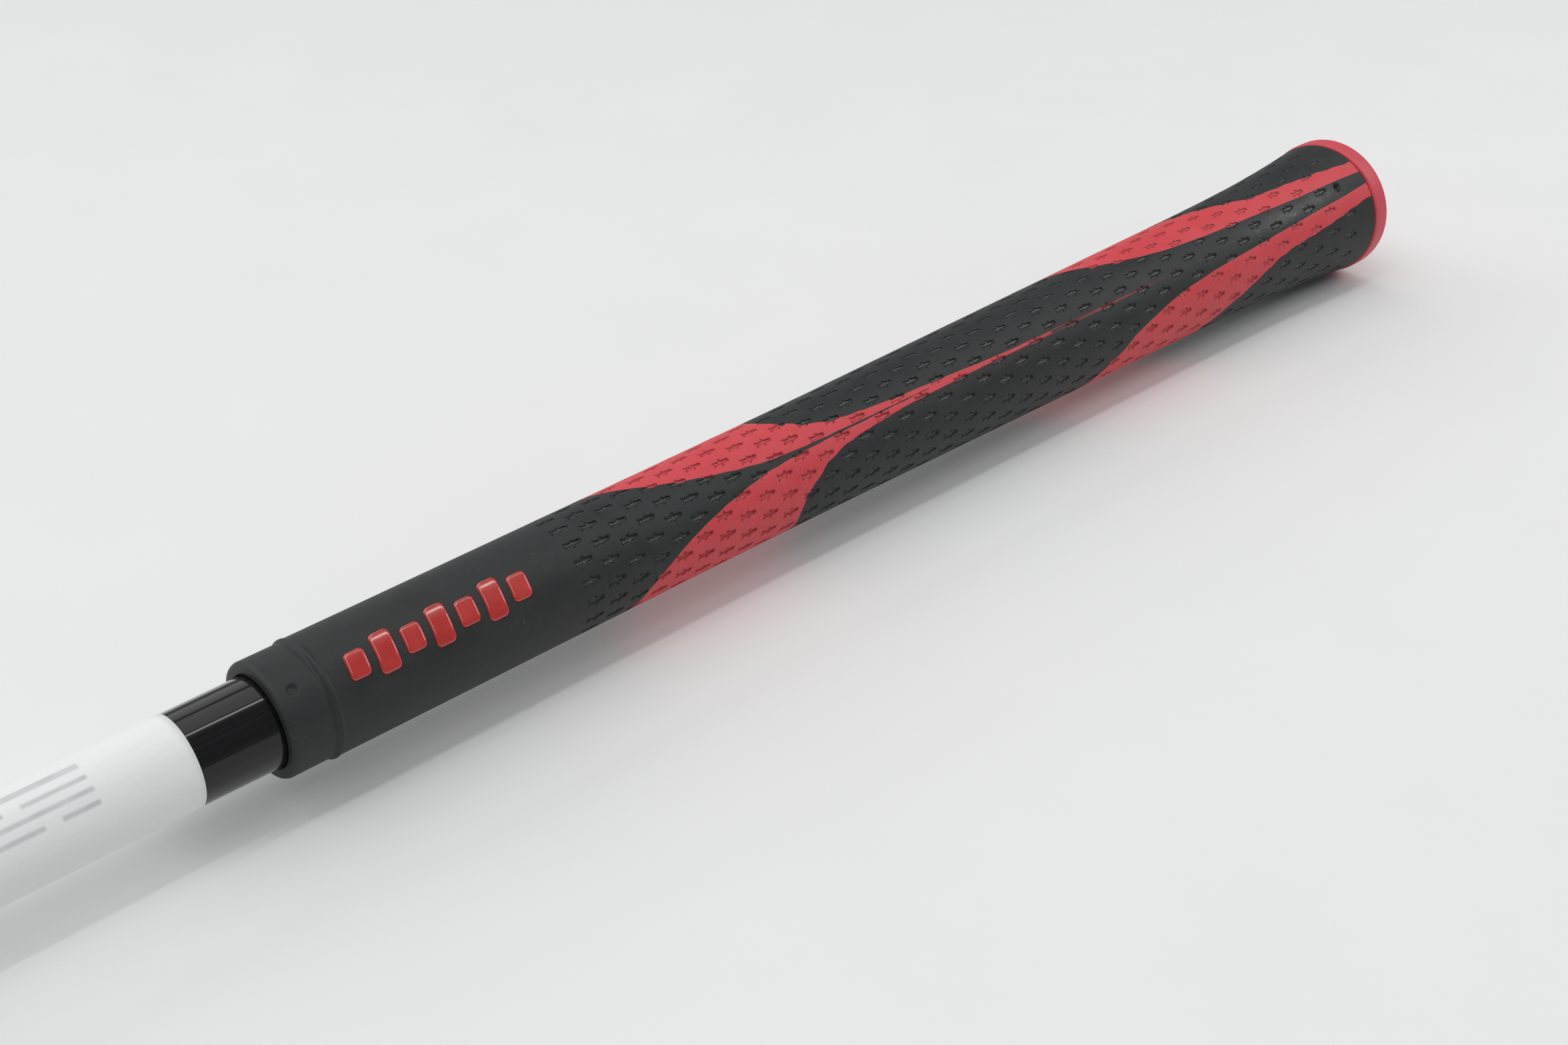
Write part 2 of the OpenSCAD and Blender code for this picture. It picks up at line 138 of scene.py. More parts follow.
# --------------------
# Material tools
# --------------------
class Graph:
    """Short names for the shader nodes that the materials below use."""

    def __init__(self, name, **settings):
        self.material = bpy.data.materials.new(name)
        self.material.use_nodes = True
        self.tree = self.material.node_tree
        self.shader = self.tree.nodes["Principled BSDF"]
        for key, value in settings.items():
            self.shader.inputs[key.replace("_", " ")].default_value = value

    def node(self, kind, **settings):
        made = self.tree.nodes.new(kind)
        for key, value in settings.items():
            setattr(made, key, value)
        return made

    def put(self, socket, value):
        if isinstance(value, bpy.types.NodeSocket):
            self.tree.links.new(value, socket)
        elif isinstance(value, tuple) and len(value) == 3 and socket.type == "RGBA":
            socket.default_value = (*value, 1)
        else:
            socket.default_value = value

    def set(self, name, value):
        self.put(self.shader.inputs[name], value)

    def math(self, kind, a, b=0.0):
        made = self.node("ShaderNodeMath", operation=kind)
        self.put(made.inputs[0], a)
        self.put(made.inputs[1], b)
        return made.outputs[0]

    def times(self, a, b):
        return self.math("MULTIPLY", a, b)

    def less(self, a, b):
        return self.math("SUBTRACT", a, b)

    def size(self, a):
        return self.math("ABSOLUTE", a)

    def vector(self, kind, a, b=(0, 0, 0)):
        made = self.node("ShaderNodeVectorMath", operation=kind)
        self.put(made.inputs[0], a)
        self.put(made.inputs[1], b)
        return made.outputs["Value" if kind in ("LENGTH", "DOT_PRODUCT") else "Vector"]

    def attribute(self, name, output="Fac"):
        return self.node("ShaderNodeAttribute", attribute_name=name).outputs[output]

    def place(self):
        return self.node("ShaderNodeTexCoord").outputs["Object"]

    def stretch(self, vector, scale, turn=(0, 0, 0)):
        made = self.node("ShaderNodeMapping")
        self.put(made.inputs["Vector"], vector)
        made.inputs["Scale"].default_value = scale
        made.inputs["Rotation"].default_value = turn
        return made.outputs[0]

    def split(self, vector):
        made = self.node("ShaderNodeSeparateXYZ")
        self.put(made.inputs[0], vector)
        return made.outputs

    def noise(self, vector, scale, detail=3.0, rough=0.55):
        made = self.node("ShaderNodeTexNoise")
        self.put(made.inputs["Vector"], vector)
        made.inputs["Scale"].default_value = scale
        made.inputs["Detail"].default_value = detail
        made.inputs["Roughness"].default_value = rough
        return made.outputs["Fac"]

    def ease(self, value, low=0.3, high=0.7, to_low=0.0, to_high=1.0):
        """A smooth step; the default range is where most of a noise lies."""
        made = self.node("ShaderNodeMapRange", interpolation_type="SMOOTHSTEP")
        self.put(made.inputs["Value"], value)
        made.inputs["From Min"].default_value = low
        made.inputs["From Max"].default_value = high
        made.inputs["To Min"].default_value = to_low
        made.inputs["To Max"].default_value = to_high
        return made.outputs["Result"]

    def mix(self, share, a, b):
        made = self.node("ShaderNodeMix", data_type="RGBA")
        self.put(made.inputs[0], share)
        self.put(made.inputs[6], a)
        self.put(made.inputs[7], b)
        return made.outputs[2]

    def bump(self, height, strength, distance, normal=None):
        made = self.node("ShaderNodeBump")
        made.inputs["Strength"].default_value = strength
        made.inputs["Distance"].default_value = distance
        self.put(made.inputs["Height"], height)
        if normal is not None:
            self.put(made.inputs["Normal"], normal)
        return made.outputs[0]


# Colours, linear
BLACK_RUBBER = (0.0185, 0.0195, 0.0198)
WORN_RUBBER = (0.050, 0.052, 0.053)
RED_RUBBER = (0.630, 0.058, 0.070)
DEEP_RED = (0.360, 0.020, 0.030)
# DEEP_RED is both a random darker speckle and painted shade on the pit floors in the red stripes
PALE_RED = (0.700, 0.120, 0.138)
DUST = (0.42, 0.42, 0.41)
# Painted sheen: a lighter grey for the pit floors in the black rubber, in place of the light their gloss
# reflects
PIT_FLOOR_SHEEN = (0.050, 0.053, 0.053)
# Painted shade: the near-black for the pit walls, the butt ends of the pits and the vent hole
PIT_SHADE = (0.006, 0.006, 0.006)
# Painted shade: the dark red for the pit walls and butt ends in the red stripes
PIT_SHADE_RED = (0.16, 0.010, 0.014)
LINE_RED = (0.50, 0.050, 0.065)
STEEL = (0.52, 0.52, 0.54)

# Tool lines of turned metal, per metre
TURNING_LINES = 6500
# Face lines, head-frame millimetres: their pitch, nearest and furthest from the middle, and heights
SCORE_PITCH = 4.2
SCORE_SIDE = (17.0, 37.0)
SCORE_HEIGHT = (12.4, 46.4)


def rubber_grain(g, place, fine=1.0):
    """Moulded rubber: a fine grain over slow unevenness."""
    grain = g.noise(place, 5200, 2.0, 0.6)
    swell = g.noise(place, 260, 3.0, 0.5)
    slow = g.bump(swell, 0.25, 0.0006)
    return g.bump(grain, 0.35 * fine, 0.00006, slow)


def grip_rubber():
    """Black rubber with red stripes; the attributes are millimetres inside a stripe or a pit."""
    g = Graph("grip_rubber", Specular_IOR_Level=0.36)
    place = g.place()
    wander = g.less(g.noise(place, 260, 2.0), 0.5)
    edge = g.math("ADD", g.attribute("stripe"), g.times(wander, 0.16))
    red = g.ease(edge, -0.06, 0.06)
    pit = g.attribute("pit")
    # Pit floor mask: it paints a lighter sheen on the floors in the black rubber and shade on the floors in
    # the red stripes, and it lowers their roughness
    floor = g.ease(pit, 0.05, 0.14)
    # Painted shade: the pit walls and the butt end of each pit, which lie in shade, are darkened
    wall = g.times(g.ease(pit, -0.05, 0.02), g.ease(pit, 0.16, 0.07))
    butt_end_shade = g.times(g.ease(g.attribute("pit_end"), 0.35, 0.85), g.ease(pit, -0.04, 0.04))
    shade = g.math("MAXIMUM", g.times(wall, 0.75), g.times(butt_end_shade, 0.85))
    cloud = g.noise(place, 90, 4.0, 0.6)
    speckle = g.noise(place, 2600, 2.0, 0.7)
    black = g.mix(g.ease(cloud, 0.3, 0.75, 0.0, 0.30), BLACK_RUBBER, WORN_RUBBER)
    # Painted sheen: the pit floors in the black rubber are made a lighter grey, in place of the reflection
    # off their glossy floors
    black = g.mix(g.times(floor, 0.8), black, PIT_FLOOR_SHEEN)
    # Painted shade in the pits of the black rubber
    black = g.mix(shade, black, PIT_SHADE)
    pink = g.mix(g.ease(cloud, 0.35, 0.7, 0.0, 0.25), RED_RUBBER, PALE_RED)
    # Painted shade: the pit floors in the red stripes are darkened towards DEEP_RED
    pink = g.mix(g.times(floor, 0.32), pink, DEEP_RED)
    # Painted shade in the pits of the red stripes
    pink = g.mix(g.times(shade, 0.6), pink, PIT_SHADE_RED)
    pink = g.mix(g.ease(speckle, 0.35, 0.75, 0.0, 0.16), pink, DEEP_RED)
    colour = g.mix(red, black, pink)
    line = g.ease(g.attribute("line"), -0.05, 0.07)
    colour = g.mix(g.times(line, g.attribute("line_share")), colour, LINE_RED)
    streak = g.ease(g.noise(g.stretch(place, (0.3, 1, 1)), 520, 6.0, 0.75), 0.56, 0.70)
    fleck = g.ease(g.noise(place, 1700, 3.0, 0.7), 0.60, 0.70)
    handled = g.ease(g.noise(g.stretch(place, (0.5, 1, 1)), 150, 3.0), 0.52, 0.75)
    dust = g.times(g.math("MAXIMUM", streak, fleck), g.attribute("scuffed"))
    dust = g.math("MAXIMUM", dust, g.times(g.times(handled, fleck), 0.30))
    colour = g.mix(g.times(dust, 0.42), colour, DUST)
    # Painted shade: the vent hole is coloured PIT_SHADE, the near-black of the shade inside it
    colour = g.mix(g.attribute("dot"), colour, PIT_SHADE)
    g.set("Base Color", colour)
    rough = g.ease(cloud, 0.3, 0.7, 0.48, 0.60)
    rough = g.less(rough, g.times(floor, 0.26))
    rough = g.less(rough, g.times(g.attribute("scuffed"), 0.14))
    g.set("Roughness", g.less(rough, g.times(g.attribute("dot"), 0.3)))
    sunk = g.times(g.ease(pit, -0.01, 0.11), -1.0)
    lip = g.ease(edge, -0.12, 0.12)
    g.set("Normal", g.bump(sunk, 0.9, 0.00014, g.bump(lip, 0.35, 0.00005, rubber_grain(g, place))))
    return g.material


def end_rubber():
    g = Graph("end_rubber")
    place = g.place()
    cloud = g.noise(place, 120, 4.0)
    rub = g.ease(g.noise(place, 900, 5.0, 0.7), 0.55, 0.75)
    colour = g.mix(g.ease(cloud, 0.3, 0.7, 0.0, 0.3), (0.60, 0.052, 0.078), PALE_RED)
    colour = g.mix(g.times(rub, 0.16), colour, (0.75, 0.30, 0.31))
    g.set("Base Color", colour)
    g.set("Roughness", g.ease(cloud, 0.3, 0.7, 0.42, 0.55))
    g.set("Normal", rubber_grain(g, place, 0.6))
    return g.material


def mark_enamel():
    g = Graph("mark_enamel", Coat_Weight=1.0, Coat_Roughness=0.07)
    place = g.place()
    cloud = g.noise(place, 260, 3.0)
    g.set("Base Color", g.mix(g.ease(cloud), (0.44, 0.016, 0.012), (0.50, 0.024, 0.017)))
    g.set("Roughness", g.ease(cloud, 0.3, 0.7, 0.26, 0.34))
    g.set("Normal", g.bump(g.noise(place, 420, 2.0), 0.12, 0.0003))
    return g.material


def shaft_lacquer():
    """Black lacquer over graphite: clear coat, faint fibres and a few fine scratches."""
    g = Graph(
        "shaft_lacquer", Coat_Weight=1.0, Coat_Roughness=0.03, Coat_IOR=1.36, Specular_IOR_Level=0.1
    )
    place = g.place()
    fibres = g.noise(g.stretch(place, (6, 1400, 1400)), 1.0, 4.0, 0.6)
    g.set("Base Color", g.mix(g.ease(fibres, 0.4, 0.75), (0.004, 0.004, 0.0045), (0.012, 0.012, 0.013)))
    scratch = g.ease(g.noise(g.stretch(place, (10, 900, 900), (0.2, 0.1, 0)), 1.0, 6.0, 0.7), 0.66, 0.72)
    smear = g.noise(place, 60, 4.0)
    g.set("Roughness", g.math("ADD", g.ease(smear, 0.3, 0.7, 0.16, 0.24), g.times(scratch, 0.15)))
    g.set("Normal", g.bump(fibres, 0.05, 0.00005))
    return g.material


def label_paper():
    """White paper with pale grey print bars: the paper attribute holds millimetres along and round."""
    g = Graph("label_paper")
    place = g.place()
    x, y, _ = g.split(g.attribute("paper", "Vector"))
    colour = g.mix(g.noise(place, 1500, 4.0, 0.65), (0.80, 0.805, 0.80), (0.86, 0.862, 0.855))

    def bar(along_from, along_to, row, height):
        begun = g.ease(x, along_from, along_from + 0.5)
        not_over = g.ease(x, along_to, along_to - 0.5)
        off = g.size(g.less(y, row))
        inside = g.ease(off, height + 0.15, height - 0.35)
        return g.times(g.times(begun, not_over), inside)

    ink = None
    for along_from, along_to, row, height in LABEL_BARS:
        made = bar(along_from, along_to, row, height)
        ink = made if ink is None else g.math("MAXIMUM", ink, made)
    faded = g.times(ink, g.ease(g.noise(place, 240, 2.0), 0.3, 0.7, 0.42, 0.62))
    colour = g.mix(faded, colour, (0.36, 0.365, 0.38))
    g.set("Base Color", colour)
    g.set("Roughness", 0.62)
    g.set("Specular IOR Level", 0.35)
    wrinkle = g.noise(g.stretch(place, (0.4, 1, 1)), 180, 4.0)
    g.set("Normal", g.bump(wrinkle, 0.25, 0.0012, g.bump(g.noise(place, 3200, 3.0), 0.15, 0.00008)))
    return g.material


def turned_metal(name, tint, rough, centre, axis):
    """Metal turned on a lathe: fine rings about its own axis and slight tarnish."""
    g = Graph(name, Metallic=1.0)
    place = g.place()
    off = g.vector("SUBTRACT", place, tuple(centre))
    radial = g.vector("LENGTH", g.vector("CROSS_PRODUCT", off, tuple(axis)))
    along = g.vector("DOT_PRODUCT", off, tuple(axis))
    track = g.node("ShaderNodeCombineXYZ")
    g.put(track.inputs[0], g.times(radial, TURNING_LINES))
    g.put(track.inputs[1], g.times(along, TURNING_LINES))
    rings = g.noise(track.outputs[0], 1.0, 3.0, 0.6)
    cloud = g.noise(place, 140, 4.0)
    nick = g.ease(g.noise(place, 1500, 4.0, 0.7), 0.66, 0.74)
    dark = tuple(c * 0.66 for c in tint)
    colour = g.mix(g.ease(cloud, 0.3, 0.72), tint, dark)
    g.set("Base Color", g.mix(g.times(nick, 0.4), colour, tuple(c * 0.35 for c in tint)))
    ringed = g.ease(rings, 0.3, 0.7, rough - 0.09, rough + 0.09)
    g.set("Roughness", g.math("ADD", ringed, g.times(nick, 0.15)))
    g.set("Normal", g.bump(rings, 0.22, 0.00004))
    return g.material


def plain_plastic(name, tint, rough, coat=0.0):
    g = Graph(name, Coat_Weight=coat, Coat_Roughness=0.06)
    place = g.place()
    cloud = g.noise(place, 160, 4.0)
    light = tuple(min(1, c * 1.6 + 0.004) for c in tint)
    g.set("Base Color", g.mix(g.ease(cloud, 0.3, 0.75, 0.0, 0.5), tint, light))
    g.set("Roughness", g.ease(cloud, 0.3, 0.7, rough, rough + 0.1))
    g.set("Normal", g.bump(g.noise(place, 2800, 3.0), 0.1, 0.00005))
    return g.material


def painted_titanium():
    """Satin black paint with a slight orange peel and an uneven tone."""
    g = Graph("titanium_body", Coat_Weight=0.25, Coat_Roughness=0.2)
    place = g.place()
    cloud = g.noise(place, 45, 5.0, 0.6)
    g.set("Base Color", g.mix(g.ease(cloud, 0.3, 0.75), (0.012, 0.012, 0.013), (0.024, 0.024, 0.026)))
    g.set("Roughness", g.ease(g.noise(place, 300, 4.0), 0.3, 0.7, 0.30, 0.40))
    g.set("Metallic", 0.35)
    g.set("Normal", g.bump(g.noise(place, 1500, 3.0), 0.12, 0.0002))
    return g.material


def brushed_face():
    """Dark brushed titanium with scored lines that stop short of the strike zone."""
    g = Graph("face_titanium", Metallic=1.0)
    place = g.place()
    x, _, z = g.split(g.attribute("head", "Vector"))
    brush = g.noise(g.stretch(g.attribute("head", "Vector"), (0.25, 9, 9)), 1.0, 4.0, 0.65)
    saw = g.size(g.less(g.math("FRACT", g.math("DIVIDE", z, SCORE_PITCH)), 0.5))
    groove = g.ease(saw, 0.10, 0.055)
    side = g.size(x)
    near, far = SCORE_SIDE
    low, high = SCORE_HEIGHT
    zone = g.times(g.ease(side, near, near + 0.6), g.ease(side, far, far - 0.6))
    height = g.times(g.ease(z, low, low + 0.3), g.ease(z, high, high - 0.3))
    score = g.times(groove, g.times(zone, height))
    colour = g.mix(g.ease(brush), (0.17, 0.17, 0.178), (0.25, 0.25, 0.26))
    colour = g.mix(score, colour, (0.55, 0.55, 0.54))
    g.set("Base Color", colour)
    g.set("Roughness", g.ease(brush, 0.3, 0.7, 0.30, 0.44))
    lines = g.bump(brush, 0.2, 0.00005)
    g.set("Normal", g.bump(g.times(score, -1.0), 0.6, 0.0002, lines))
    return g.material


def woven_carbon(name, tow, gloss, aim=False):
    """Two-by-two twill carbon under clear lacquer, from the head attribute in millimetres."""
    g = Graph(name, Coat_Weight=1.0, Coat_Roughness=gloss)
    x, b, _ = g.split(g.attribute("head", "Vector"))
    u = g.math("DIVIDE", g.math("ADD", x, b), tow * math.sqrt(2))
    v = g.math("DIVIDE", g.less(b, x), tow * math.sqrt(2))
    step = g.math("FLOORED_MODULO", g.math("ADD", g.math("FLOOR", u), g.math("FLOOR", v)), 4.0)
    over = g.math("LESS_THAN", step, 1.5)
    crown_u = g.size(g.less(g.math("FRACT", u), 0.5))
    crown_v = g.size(g.less(g.math("FRACT", v), 0.5))
    choose = g.node("ShaderNodeMix", data_type="FLOAT")
    g.put(choose.inputs[0], over)
    g.put(choose.inputs[2], crown_u)
    g.put(choose.inputs[3], crown_v)
    edge = g.ease(choose.outputs[0], 0.30, 0.50)
    fibre_u = g.noise(g.stretch(g.attribute("head", "Vector"), (9, 1.2, 1), (0, 0, math.pi / 4)), 1.0, 3.0)
    # Painted sheen and shade: the tows running one way are darker than those running the other, in place of
    # the reflection that changes with fibre direction; both are the same carbon
    warp_shaded = g.mix(g.ease(fibre_u), (0.010, 0.010, 0.0105), (0.026, 0.026, 0.027))
    weft_sheen = g.mix(g.ease(fibre_u), (0.028, 0.028, 0.030), (0.052, 0.053, 0.056))
    colour = g.mix(over, warp_shaded, weft_sheen)
    colour = g.mix(edge, colour, (0.004, 0.004, 0.004))
    if aim:
        reach = AIM_MARK[1]
        behind = g.less(b, AIM_MARK[0])
        side = g.size(x)
        wing = g.size(g.less(g.math("ADD", side, behind), reach))
        chevron = g.times(g.ease(wing, 0.95, 0.75), g.ease(side, reach, reach - 0.3))
        colour = g.mix(chevron, colour, (0.78, 0.78, 0.77))
    g.set("Base Color", colour)
    g.set("Roughness", g.ease(fibre_u, 0.3, 0.7, 0.34, 0.46))
    g.set("Metallic", 0.25)
    g.set("Normal", g.bump(g.less(1.0, edge), 0.25, 0.0002))
    return g.material


# --------------------
# Grip
# --------------------
GRIP_LENGTH = 268.0
END_THICK = 4.5
END_R = 14.2
COLLAR_R = 9.25
SHAFT_MOUTH_R = 7.3
VENT_R = 1.5
# Distance from the butt and radius
GRIP_LINE = [
    (END_THICK, END_R - 0.2), (8, 13.65), (12, 13.25), (18, 12.8), (25, 12.3), (35, 11.9), (45, 11.65),
    (70, 11.3), (100, 10.85), (130, 10.4), (160, 9.95), (190, 9.75), (220, 9.65), (259, 9.5),
]
RIDGE_S = 260.0
COLLAR_S = 261.0
PIT_ROWS = 36
ROW_TURN = 2 * math.pi / PIT_ROWS
# A pit near the butt, the pitch there and how much the pitch tightens from pit to pit
PIT_START = 45
PIT_PITCH = 10.7
PIT_TIGHTEN = 0.0467
PIT_ENDS = (7.5, 215.0)
PIT_HALF_LENGTH = 1.9
PIT_DEPTH = 0.42
PIT_GRID = 0.26
GRIP_AROUND = 288
# Arms of a pit as start, end and half width, along the grip (positive to the butt) and across
PIT_ARMS = [
    ((-1.05, 0), (1.32, 0), 0.37),
    ((0.40, 0), (-0.05, 0.68), 0.21),
    ((0.40, 0), (-0.05, -0.68), 0.21),
    ((-1.00, 0), (-1.58, 0.42), 0.20),
    ((-1.00, 0), (-1.58, -0.42), 0.20),
]
DOT_S = 13.0
DOT_TURN = math.radians(-2.0)
DOT_R = 0.80
DOT_DEPTH = 0.9
DOT_CLEAR = 4.2
MOUTH_DOT_S = 265.0
MOUTH_DOT_TURN = math.radians(-5.0)
MOUTH_DOT_R = 0.75
MOUTH_DOT_DEPTH = 0.45

# Stripe outlines as distance from the butt and degrees from the centre line; each stripe is
# mirrored about that line, and the two of a pair meet at the back
BUTT_STRIPE_OUTER = [
    (4, 17), (9, 19.5), (15, 24), (23, 28.5), (31, 32), (36, 36), (42, 46), (47, 56), (52, 66),
    (56, 80), (59, 97), (63, 120), (70, 150), (79, 181),
]
BUTT_STRIPE_INNER = [
    (4, 5.5), (12, 8), (25, 10.5), (41, 14.5), (54, 17.5), (64, 22), (71, 28), (77, 36), (81.5, 44),
    (85, 56), (88, 66), (91, 80), (94, 97), (98, 120), (104, 150), (112, 181),
]
LOBE_OUTER = [
    (103, 0.7), (118, 1.7), (132, 4.2), (142, 5.8), (150, 9), (157, 13.5), (162, 22), (166, 37), (168, 48),
    (169, 62), (169.5, 97), (168, 120), (160, 150), (150, 181),
]
LOBE_INNER = [
    (103, -0.6), (118, -0.6), (128, -0.4), (133, 0.25), (143, 0.7), (151, 1.0), (159, 1.5), (167, 2.4),
    (174, 5), (179, 9.5), (185, 17), (190, 25), (195, 36), (199, 50), (202, 64), (204, 82), (205, 97),
    (204, 120), (196, 150), (184, 181),
]
CENTRE_LINE = (54.0, 134.0)
LINE_LEAN = math.radians(3.0)
# The centre line is double: half the distance between its lines, and half the width of each
LINE_APART = 0.27
LINE_HALF = 0.11
# Period of the wave in a stripe's edge along the grip
RIPPLE_PITCH = 5.2

# Raised mark: plain rounded blocks in a row
MARK_S = (223.0, 257.0)
MARK_HEIGHTS = [4.4, 6.6, 4.4, 6.6, 4.4, 6.6, 4.4]
MARK_RAISE = 0.4
MARK_GAP = 1.3
MARK_CORNER = 0.9
MARK_PILLOW = 0.55
MARK_SLANT = 0.10
# Stations along a block and across it
MARK_GRID = (22, 34)

LABEL_START = 13.0
LABEL_LENGTH = 120.0
LABEL_T = 0.12
LABEL_TURN = math.radians(-60)
LABEL_LAP = math.radians(24)
# Stations along the label and round it
LABEL_MESH = (90, 120)
# Moves the underside's bars far away, so that only the outside is printed
LABEL_UNDER = 900.0
# Print bars on the label: from and to along it, place round it, half height
LABEL_BARS = [
    (14, 30, -3.4, 0.7), (32.5, 40, -3.4, 0.7), (14, 24, -1.0, 0.45), (26, 37, -1.0, 0.45),
    (14, 33, 1.0, 0.45), (14, 20, 3.0, 0.45), (22, 36, 3.0, 0.45), (46, 47, 0, 3.6), (48, 50, 0, 3.6),
    (51, 51.6, 0, 3.6), (53, 54, 0, 3.6), (55, 57.4, 0, 3.6), (58.4, 59, 0, 3.6), (60, 62, 0, 3.6),
    (70, 100, -3.0, 0.7), (70, 92, 0, 0.5), (70, 96, 2.6, 0.5),
]


def grip_radius(s):
    """Outline radius of the grip, rounded off between its stations."""
    fine = np.arange(END_THICK, GRIP_LENGTH, 0.25)
    raw = np.interp(fine, *zip(*GRIP_LINE))
    width = np.clip((fine - END_THICK) / 3, 0.5, 10)
    soft = sum(np.interp(fine + width * k / 4, fine, raw) for k in range(-4, 5)) / 9
    r = np.interp(s, fine, soft)
    collar = smooth_step((s - COLLAR_S + 0.9) / 0.9) * (9.5 - COLLAR_R)
    ridge = 0.17 * np.exp(-(((s - RIDGE_S) / 0.30) ** 2))
    groove = 0.20 * np.exp(-(((s - RIDGE_S - 0.75) / 0.30) ** 2))
    crevice = 0.5 * np.exp(-(((s - END_THICK) / 0.35) ** 2))
    return r - collar + ridge - groove - crevice


def outline_distance(s, turn_mm, outline, radius):
    """Millimetres inside a closed outline given as distance from the butt and degrees."""
    pts = np.array([(a, math.radians(t) * radius(a)) for a, t in outline])
    best = np.full(s.shape, 1e9)
    inside = np.zeros(s.shape, bool)
    for k in range(len(pts)):
        (x0, y0), (x1, y1) = pts[k - 1], pts[k]
        dx, dy = x1 - x0, y1 - y0
        t = np.clip(((s - x0) * dx + (turn_mm - y0) * dy) / max(dx * dx + dy * dy, 1e-9), 0, 1)
        best = np.minimum(best, np.hypot(s - x0 - t * dx, turn_mm - y0 - t * dy))
        crosses = (y0 > turn_mm) != (y1 > turn_mm)
        where = x0 + (turn_mm - y0) * dx / (dy if abs(dy) > 1e-9 else 1e-9)
        inside ^= crosses & (s < where)
    return np.where(inside, best, -best)


def ripple(outline, size):
    """The same edge with a slight wave in step with the pits."""
    made = []
    for (s0, t0), (s1, t1) in zip(outline, outline[1:]):
        steps = max(1, int(math.hypot(s1 - s0, (t1 - t0) * 0.2)))
        for k in range(steps):
            s = s0 + (s1 - s0) * k / steps
            t = t0 + (t1 - t0) * k / steps
            wave = size * math.sin(2 * math.pi * s / RIPPLE_PITCH + t * 0.13)
            made.append((s, t + wave))
    return made + [outline[-1]]


def centre_lean(s):
    """Turn by which the centre line leans away towards the butt."""
    return LINE_LEAN * smooth_step((142 - s) / 40)


def stripe_field(s, turn):
    """Millimetres inside the nearest stripe, over the whole grip."""
    def radius(a):
        return float(np.interp(a, *zip(*GRIP_LINE)))

    width = np.interp(s, *zip(*GRIP_LINE))
    turn_mm = np.abs(turn) * width
    lean = centre_lean(s) * smooth_step(math.pi / 2 - np.abs(turn))
    lobe_mm = np.abs(turn - lean) * width
    butt = ripple(BUTT_STRIPE_OUTER, 0.45) + BUTT_STRIPE_INNER[::-1]
    lobe = LOBE_OUTER[:4] + ripple(LOBE_OUTER[4:], 0.4) + ripple(LOBE_INNER, 0.2)[::-1]
    return np.maximum(
        outline_distance(s, turn_mm, butt, radius),
        outline_distance(s, lobe_mm, lobe, radius),
    )


def pit_place(k):
    """Distance of pit k of a row from the butt; the pitch tightens towards the mouth."""
    return PIT_START + PIT_PITCH * k - PIT_TIGHTEN * k * k


def star_inside(along, across):
    """Millimetres inside the outline of a pit: a body, two swept wings and a forked tail."""
    best = np.full(along.shape, -1e9)
    for (u0, v0), (u1, v1), fat in PIT_ARMS:
        du, dv = u1 - u0, v1 - v0
        t = np.clip(((along - u0) * du + (across - v0) * dv) / (du * du + dv * dv), 0, 1)
        best = np.maximum(best, fat - np.hypot(along - u0 - t * du, across - v0 - t * dv))
    return best


def pit_field(s, turn, r):
    """Millimetres inside the nearest pit, and the place along it from -1 to 1 at the butt end."""
    row = np.round(turn / ROW_TURN - 0.5)
    row_turn = (row + 0.5) * ROW_TURN
    across = (turn - row_turn) * r
    half = np.mod(row, 2) * 0.5
    pos = (s - PIT_START) / PIT_PITCH
    for _ in range(3):
        pos = (s - PIT_START + PIT_TIGHTEN * pos * pos) / PIT_PITCH
    k = np.round(pos - half) + half
    middle = pit_place(k)
    along = middle - s
    inside = star_inside(along, across)
    gone = (middle < PIT_ENDS[0]) | (middle > PIT_ENDS[1])
    gone |= np.hypot(middle - DOT_S, (row_turn - DOT_TURN) * r) < DOT_CLEAR
    inside[gone] = -1
    return np.maximum(inside, -1), np.clip(along / PIT_HALF_LENGTH, -1, 1)


def dot_depth(s, turn, r, at, turn_at, radius):
    d = np.hypot(s - at, (turn - turn_at) * r)
    return smooth_step((radius + 0.15 - d) / 0.3)


def grip_stations():
    fine = np.arange(END_THICK + 0.02, PIT_ENDS[1] + 3, PIT_GRID)
    coarse = np.arange(PIT_ENDS[1] + 3.5, RIDGE_S - 1.5, 0.9)
    end = np.arange(RIDGE_S - 1.5, GRIP_LENGTH - 0.7, 0.20)
    return np.concatenate([fine, coarse, end])


def ring_faces(rings, around):
    """Quads between successive closed rings of points."""
    i = np.arange(around)
    j = (i + 1) % around
    faces = []
    for k in range(rings - 1):
        a = k * around
        b = a + around
        faces.append(np.stack([a + i, a + j, b + j, b + i], axis=1))
    return np.concatenate(faces)


def closed_faces(rings, around):
    """The same quads, with the last ring joined to the first."""
    closing = ring_faces(2, around)
    closing = np.where(closing >= around, closing - around, closing + (rings - 1) * around)
    return np.concatenate([ring_faces(rings, around), closing])


def slab_faces(n, m, first=0):
    """Faces of a thin slab: n rows of m points on top, then as many points under them."""
    under = n * m
    faces = []
    for i in range(n - 1):
        for j in range(m - 1):
            a = first + i * m + j
            quad = [a, a + 1, a + m + 1, a + m]
            faces.append(quad)
            faces.append([q + under for q in reversed(quad)])
    edge = [i * m for i in range(n)] + [(n - 1) * m + j for j in range(1, m)]
    edge += [i * m + m - 1 for i in range(n - 2, -1, -1)] + list(range(m - 2, 0, -1))
    for a, b in zip(edge, edge[1:] + edge[:1]):
        faces.append([first + a, first + b, first + b + under, first + a + under])
    return faces


def round_points(x, r, turn):
    """Club-frame points at a radius and a turn about the shaft from the grip's centre line."""
    angle = turn + GRIP_ROLL
    x, r, angle = np.broadcast_arrays(x, r, angle)
    return np.stack([x.ravel(), (-np.sin(angle) * r).ravel(), (np.cos(angle) * r).ravel()], axis=1)


